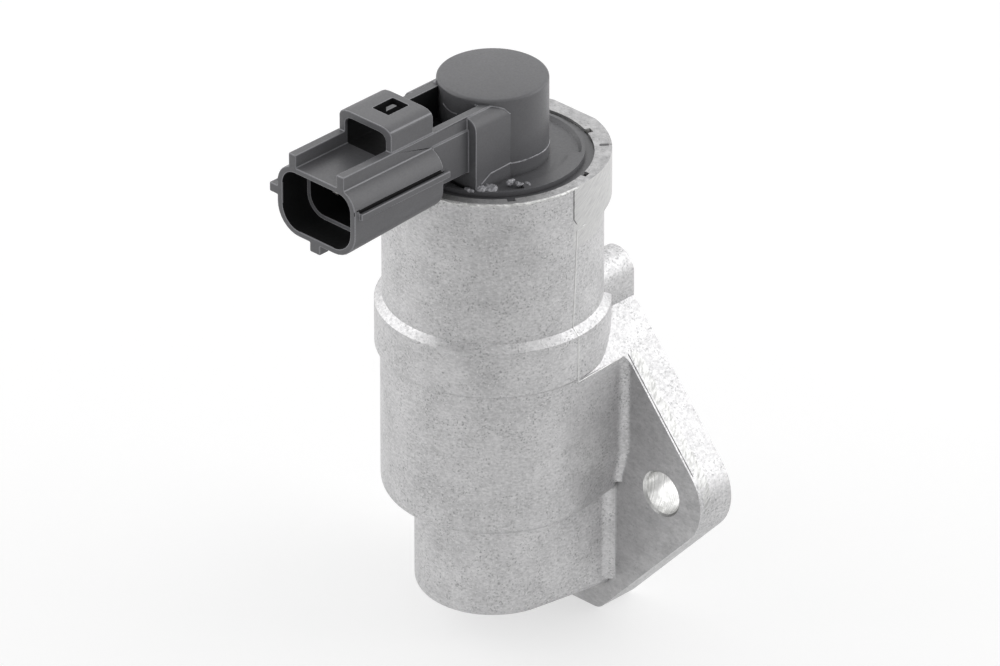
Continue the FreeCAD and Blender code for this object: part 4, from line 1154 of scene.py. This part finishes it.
class VALVE_OT_moulding(bpy.types.Operator):
    """Dresses the black overmoulding with its socket and the small marks of its mould"""

    bl_idname = "valve.moulding"
    bl_label = "Moulding"

    def zone(self, centre, normal):
        """The step inside the mouth takes painted light, and the mouth's inside, the latch tunnel, pocket
        and grooves take painted shade.
        """
        out = abs(centre.x)
        # Painted light: the step face inside the mouth.
        if normal.y < -0.9 and abs(centre.y - MOUTH - STEP_DEPTH) < 0.3 * MM:
            return 2
        # Painted shade: the mouth's inside, the latch tunnel, the pocket and the grooves.
        up = centre.z - SOCKET_AXIS
        inwards = centre.x * normal.x + up * normal.z < MM
        within = out < MOUTH_HALVES[0] and abs(up) < MOUTH_HALVES[1]
        if inwards and within and MOUTH + 0.1 * MM < centre.y < MOUTH + SOCKET_DEPTH + 0.1 * MM:
            return 3
        if BRIDGE_FRONT + 0.6 * MM < centre.y < BRIDGE_BACK and out < BETWEEN_RAILS:
            return 3 if TUNNEL_LOW < centre.z < TUNNEL_TOP else 0
        if BRIDGE_BACK < centre.y and out < BETWEEN_RAILS and centre.z < RAIL_TOP - 0.1 * MM:
            return 3 if centre.z > POCKET_FLOOR else 0
        in_groove = GROOVE_SIDES[0] < out < GROOVE_SIDES[1]
        if in_groove and STRIP_TOP - 0.01 * MM < centre.z < STRIP_TOP + GROOVE_HEIGHT:
            return 3
        return 0

    def execute(self, context):
        detail = context.scene.valve_detail
        edge = detail.plastic_edge * MM
        finish = [material(name) for name in ("plastic", "plastic_edge", "plastic_lit_step", "plastic_painted_shade")]
        plate = disc()
        front = socket_body(context.scene.valve_socket)
        pieces = [plate, front, stub()]
        for piece in pieces:
            paint(piece, *finish)
        for polygon in front.data.polygons:
            polygon.material_index = self.zone(polygon.center, polygon.normal)
        break_edges(front, edge, clamp=False)
        # The mouth's inside, tunnel, pocket and grooves keep their painted shade on the new bevel faces.
        for polygon in front.data.polygons:
            if self.zone(polygon.center, polygon.normal) == 3:
                polygon.material_index = 3
        break_edges(plate, edge)
        cap = joined(pieces, "connector_cap_finish")
        soften(cap)
        dress(cap, "housing", "black_plastic", *finish)
        dress(cap_marks(), "housing", "black_plastic", material("flash"))
        dress_nodes("housing", BLADE_EDGE, ("terminal_left", "tinned_brass", "tin"),
                    ("terminal_right", "tinned_brass", "tin"))
        return {"FINISHED"}


# Seals


def round_seal(node, name):
    """A round O-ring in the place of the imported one, with its moulding flash round the middle."""
    low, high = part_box(node)
    wire = (high.z - low.z) / 2
    middle = (high.x - low.x) / 2 - wire
    seal = primitive(bpy.ops.mesh.primitive_torus_add, name, major_radius=middle, minor_radius=wire * 0.995,
                     major_segments=144, minor_segments=20, location=(0, AXIS_Y, (low.z + high.z) / 2))
    settle(seal)
    for vertex in seal.data.vertices:
        out = Vector((vertex.co.x, vertex.co.y - AXIS_Y)).length - middle
        up = vertex.co.z - (low.z + high.z) / 2
        if abs(up) < 0.1 * wire and out < 0:
            vertex.co.x *= 1 - 0.03 * wire / middle
    smooth(seal, 60)
    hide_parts(node)
    return seal


class VALVE_OT_seals(bpy.types.Operator):
    """Dresses the face seal and the rubber facing of the head, and makes the O-rings"""

    bl_idname = "valve.seals"
    bl_label = "Seals"

    def execute(self, context):
        for node in ("lower_o_ring", "cap_o_ring"):
            dress(round_seal(node, node + "_round"), "housing", "rubber", material("rubber"))
        for node, body, edge in (("flange_seal", "housing", 0.35), ("head_facing", "plunger", 0.1)):
            seal = dressed_copy(node, edge * MM, segments=3)
            dress(seal, body, "rubber", material("rubber"))
        return {"FINISHED"}


# The solenoid


def turned(name, profile, steps=72):
    """A closed profile of (radius, height) points turned about the valve axis."""
    solid = primitive(bpy.ops.mesh.primitive_circle_add, name, vertices=len(profile))
    for vertex, (radius, height) in zip(solid.data.vertices, profile):
        vertex.co = (radius, 0.0, height)
    apply_modifier(solid, "SCREW", axis="Z", angle=math.radians(360), steps=steps, render_steps=steps,
                   use_merge_vertices=True, merge_threshold=1e-6)
    for vertex in solid.data.vertices:
        vertex.co.y += AXIS_Y
    outwards(solid)
    return solid


def wound_wire(detail):
    """The outer layer of the winding as stacked turns round the layers below."""
    radius = (winding_high.x - winding_low.x) / 2
    height = winding_high.z - winding_low.z
    wire_r = height / detail.wire_turns / 2
    wire = primitive(bpy.ops.mesh.primitive_torus_add, "coil_turns", major_radius=radius - wire_r,
                     minor_radius=wire_r, major_segments=72, minor_segments=8,
                     location=(0, AXIS_Y, winding_low.z + wire_r))
    settle(wire)
    apply_modifier(wire, "ARRAY", count=detail.wire_turns, use_relative_offset=False,
                   use_constant_offset=True, constant_offset_displace=(0.0, 0.0, 2 * wire_r))
    low = winding_low.z + 0.5 * wire_r
    high = winding_high.z - 0.5 * wire_r
    core = turned("coil_layers", [(WINDING_BORE_R, low), (radius - wire_r, low), (radius - wire_r, high),
                                  (WINDING_BORE_R, high)])
    return joined([wire, core], "coil_winding_turns")


class VALVE_OT_solenoid(bpy.types.Operator):
    """Dresses the coil, its steel circuit and the bushes"""

    bl_idname = "valve.solenoid"
    bl_label = "Solenoid"

    def execute(self, context):
        detail = context.scene.valve_detail
        edge = detail.metal_edge * MM
        turns = wound_wire(detail)
        smooth(turns, 40)
        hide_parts("coil_winding")
        dress(turns, "housing", "copper", material("copper"))
        dress_nodes("housing", edge, ("lower_pole_plate", "steel", "steel"),
                    ("upper_pole_plate", "steel", "steel"), ("solenoid_can", "steel", "steel"),
                    ("fixed_core", "steel", "steel"), ("guide_sleeve", "brass", "brass"),
                    ("lower_bush", "brass", "brass"), ("upper_bush", "brass", "brass"),
                    ("valve_seat", "brass", "brass"), ("spring_cup", "steel", "steel"),
                    ("coil_bobbin", "bobbin_plastic", "bobbin"))
        return {"FINISHED"}


# The plunger and its spring


def return_spring(detail):
    """The return spring, closed with a flat turn at each end."""
    wire_r = SPRING_WIRE_R
    radius = (spring_high.x - spring_low.x) / 2 - wire_r
    low = spring_low.z + wire_r
    rise = spring_high.z - spring_low.z - 2 * wire_r
    turns = detail.spring_turns
    wire = primitive(bpy.ops.mesh.primitive_circle_add, "return_spring_wire", vertices=12, radius=wire_r,
                     rotation=(math.radians(90), 0, 0), location=(radius, 0, 0))
    settle(wire)
    apply_modifier(wire, "SCREW", axis="Z", angle=math.radians(360), iterations=turns, steps=48,
                   render_steps=48, screw_offset=1.0)
    flat_rise = 2.04 * wire_r
    steep_rise = (rise - 2 * flat_rise) / (turns - 2)
    for vertex in wire.data.vertices:
        part_turn = (math.atan2(vertex.co.y, vertex.co.x) / math.tau) % 1.0
        turn = round(vertex.co.z - part_turn) + part_turn
        climb = flat_rise * min(turn, 1.0) + steep_rise * min(max(turn - 1.0, 0.0), turns - 2.0)
        climb += flat_rise * max(turn - (turns - 1.0), 0.0)
        vertex.co.z += low + climb - turn
        vertex.co.y += AXIS_Y
    wire.data.update()
    activate(wire)
    bpy.ops.object.mode_set(mode="EDIT")
    bpy.ops.mesh.select_mode(type="EDGE")
    bpy.ops.mesh.select_all(action="DESELECT")
    bpy.ops.mesh.select_non_manifold()
    bpy.ops.mesh.edge_face_add()
    bpy.ops.object.mode_set(mode="OBJECT")
    outwards(wire)
    smooth(wire, 50)
    return wire


class VALVE_OT_plunger(bpy.types.Operator):
    """Dresses the plunger and makes its return spring"""

    bl_idname = "valve.plunger"
    bl_label = "Plunger"

    def execute(self, context):
        detail = context.scene.valve_detail
        edge = detail.metal_edge * MM
        dress_nodes("plunger", edge, ("armature", "steel", "steel"), ("valve_shaft", "steel", "steel"),
                    ("stop_washer", "brass", "brass"), ("valve_head", "turned_aluminium", "machined"),
                    ("shaft_clip", "spring_steel", "spring_steel"))
        spring = return_spring(detail)
        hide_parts("return_spring")
        dress(spring, "housing", "spring_steel", material("spring_steel"))
        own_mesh(spring)
        return {"FINISHED"}


# The stage


def aim_at(obj, place, target):
    """Puts a lamp or camera at a place and points it at a target."""
    obj.location = place
    obj.rotation_mode = "QUATERNION"
    obj.rotation_quaternion = (Vector(target) - Vector(place)).to_track_quat("-Z", "Y")


def softbox(name, place, target, size, power):
    """One rectangular lamp."""
    lamp = bpy.data.lights.new(name, "AREA")
    lamp.shape = "RECTANGLE"
    lamp.size, lamp.size_y = size
    lamp.energy = power
    obj = bpy.data.objects.new(name, lamp)
    bpy.context.scene.collection.objects.link(obj)
    aim_at(obj, place, target)
    return obj


class VALVE_OT_stage(bpy.types.Operator):
    """Makes the camera, the white floor and the soft light"""

    bl_idname = "valve.stage"
    bl_label = "Stage"

    def execute(self, context):
        stage = context.scene.valve_stage
        aim = Vector(stage.aim)
        level = math.cos(stage.elevation)
        back = Vector((math.sin(stage.azimuth) * level, -math.cos(stage.azimuth) * level,
                       math.sin(stage.elevation)))
        camera = bpy.data.objects.new("camera", bpy.data.cameras.new("camera"))
        context.scene.collection.objects.link(camera)
        camera.data.sensor_width = 36.0
        camera.data.lens = stage.lens
        camera.data.shift_x, camera.data.shift_y = stage.shift
        camera.data.clip_start = 0.1
        camera.data.clip_end = 20.0
        aim_at(camera, aim + back * stage.distance, aim)
        context.scene.camera = camera
        right = Vector((math.cos(stage.azimuth), math.sin(stage.azimuth), 0))
        ahead = Vector((back.x, back.y, 0)).normalized()
        for name, side, share in (("left_softbox", -1, 1.0), ("right_softbox", 1, 1.2)):
            place = aim + (right * side * SIDE_OUT - ahead * SIDE_BEHIND) * SIDE_REACH
            place += Vector((0, 0, SIDE_RISE))
            softbox(name, place, aim, SIDE_SIZE, stage.side_power * share)
        place = aim - ahead * BACK_REACH + Vector((0, 0, BACK_RISE))
        softbox("back_softbox", place, aim, BACK_SIZE, stage.back_power)
        self.floor(ahead)
        self.sky(context, stage, ahead)
        context.scene.view_settings.view_transform = "Standard"
        return {"FINISHED"}

    def fading(self, tree, coordinates, ahead, reach, dimmest):
        """One behind the valve, falling off smoothly towards the side where no backdrop stands."""
        along = add_node(tree, "ShaderNodeVectorMath", operation="DOT_PRODUCT")
        tree.links.new(coordinates, along.inputs[0])
        along.inputs[1].default_value = ahead
        return ranged(tree, along.outputs["Value"], 0.0, reach, 1.0, dimmest)

    def mirrored(self, tree, path):
        """One for a ray that comes off the metal."""
        return maths(tree, "MAXIMUM", path.outputs["Is Glossy Ray"], path.outputs["Is Transmission Ray"])

    def floor(self, ahead):
        """A white floor that keeps the valve's soft shadow."""
        floor = primitive(bpy.ops.mesh.primitive_plane_add, "floor", size=6.0,
                          location=(0, 0, cad_low.z - 0.02 * MM))
        white = bpy.data.materials.new("white_floor")
        white.use_nodes = True
        tree = white.node_tree
        shader = tree.nodes["Principled BSDF"]
        shader.inputs["Base Color"].default_value = (FLOOR_TONE, FLOOR_TONE, FLOOR_TONE, 1)
        shader.inputs["Roughness"].default_value = 0.9
        shader.inputs["Emission Color"].default_value = (1, 1, 1, 1)
        place = tree.nodes.new("ShaderNodeTexCoord").outputs["Object"]
        faded = self.fading(tree, place, ahead, FLOOR_FADE, 0.0)
        path = tree.nodes.new("ShaderNodeLightPath")
        mirrored = maths(tree, "MULTIPLY", self.mirrored(tree, path), faded)
        glow = weighted(tree, 0.0, (path.outputs["Is Camera Ray"], FLOOR_GLOW), (mirrored, FLOOR_MIRRORED))
        tree.links.new(glow, shader.inputs["Emission Strength"])
        floor.data.materials.append(white)

    def sky(self, context, stage, ahead):
        """A white backdrop, which the camera and the metal see, and even light for the rest."""
        world = bpy.data.worlds.new("studio")
        context.scene.world = world
        world.use_nodes = True
        tree = world.node_tree
        even = tree.nodes["Background"]
        even.inputs["Color"].default_value = (1, 1, 1, 1)
        height = tree.nodes.new("ShaderNodeSeparateXYZ")
        tree.links.new(tree.nodes.new("ShaderNodeTexCoord").outputs["Generated"], height.inputs[0])
        overhead = ranged(tree, height.outputs["Z"], 0.1, 0.9, stage.sky * SKY_LOW,
                          stage.sky * SKY_OVERHEAD)
        tree.links.new(overhead, even.inputs["Strength"])
        white = add_node(tree, "ShaderNodeBackground", {"Color": (1, 1, 1, 1)})
        path = tree.nodes.new("ShaderNodeLightPath")
        direction = tree.nodes.new("ShaderNodeTexCoord").outputs["Generated"]
        faded = self.fading(tree, direction, ahead, BACKDROP_FADE, BACKDROP_DIMMEST)
        camera_ray = path.outputs["Is Camera Ray"]
        tree.links.new(maths(tree, "MAXIMUM", camera_ray, faded), white.inputs["Strength"])
        mix = tree.nodes.new("ShaderNodeMixShader")
        tree.links.new(maths(tree, "MAXIMUM", self.mirrored(tree, path), camera_ray), mix.inputs["Fac"])
        tree.links.new(even.outputs[0], mix.inputs[1])
        tree.links.new(white.outputs[0], mix.inputs[2])
        tree.links.new(mix.outputs[0], tree.nodes["World Output"].inputs["Surface"])


class VALVE_PT_panel(bpy.types.Panel):
    """The valve's steps and settings in the sidebar."""

    bl_idname = "VALVE_PT_panel"
    bl_label = "Valve"
    bl_space_type = "VIEW_3D"
    bl_region_type = "UI"
    bl_category = "Valve"

    def draw(self, context):
        for step in STEPS:
            self.layout.operator(step.bl_idname)
        for group in SETTINGS:
            settings = getattr(context.scene, group)
            for name in settings.__annotations__:
                self.layout.prop(settings, name)


STEPS = (VALVE_OT_stage, VALVE_OT_casting, VALVE_OT_moulding, VALVE_OT_seals, VALVE_OT_solenoid,
         VALVE_OT_plunger)
SETTINGS = {"valve_stage": StageSettings, "valve_finish": FinishSettings,
            "valve_socket": SocketSettings, "valve_detail": DetailSettings}
CLASSES = (*SETTINGS.values(), *STEPS, VALVE_PT_panel)


def register():
    """Adds the classes and the scene's settings."""
    for item in CLASSES:
        bpy.utils.register_class(item)
    for name, settings in SETTINGS.items():
        setattr(bpy.types.Scene, name, PointerProperty(type=settings))


def unregister():
    """Removes what register added."""
    for name in SETTINGS:
        delattr(bpy.types.Scene, name)
    for item in reversed(CLASSES):
        bpy.utils.unregister_class(item)


def main():
    """Runs every step in order."""
    register()
    bpy.ops.valve.stage()
    bpy.ops.valve.casting()
    bpy.ops.valve.moulding()
    bpy.ops.valve.seals()
    bpy.ops.valve.solenoid()
    bpy.ops.valve.plunger()


if __name__ == "__main__":
    main()
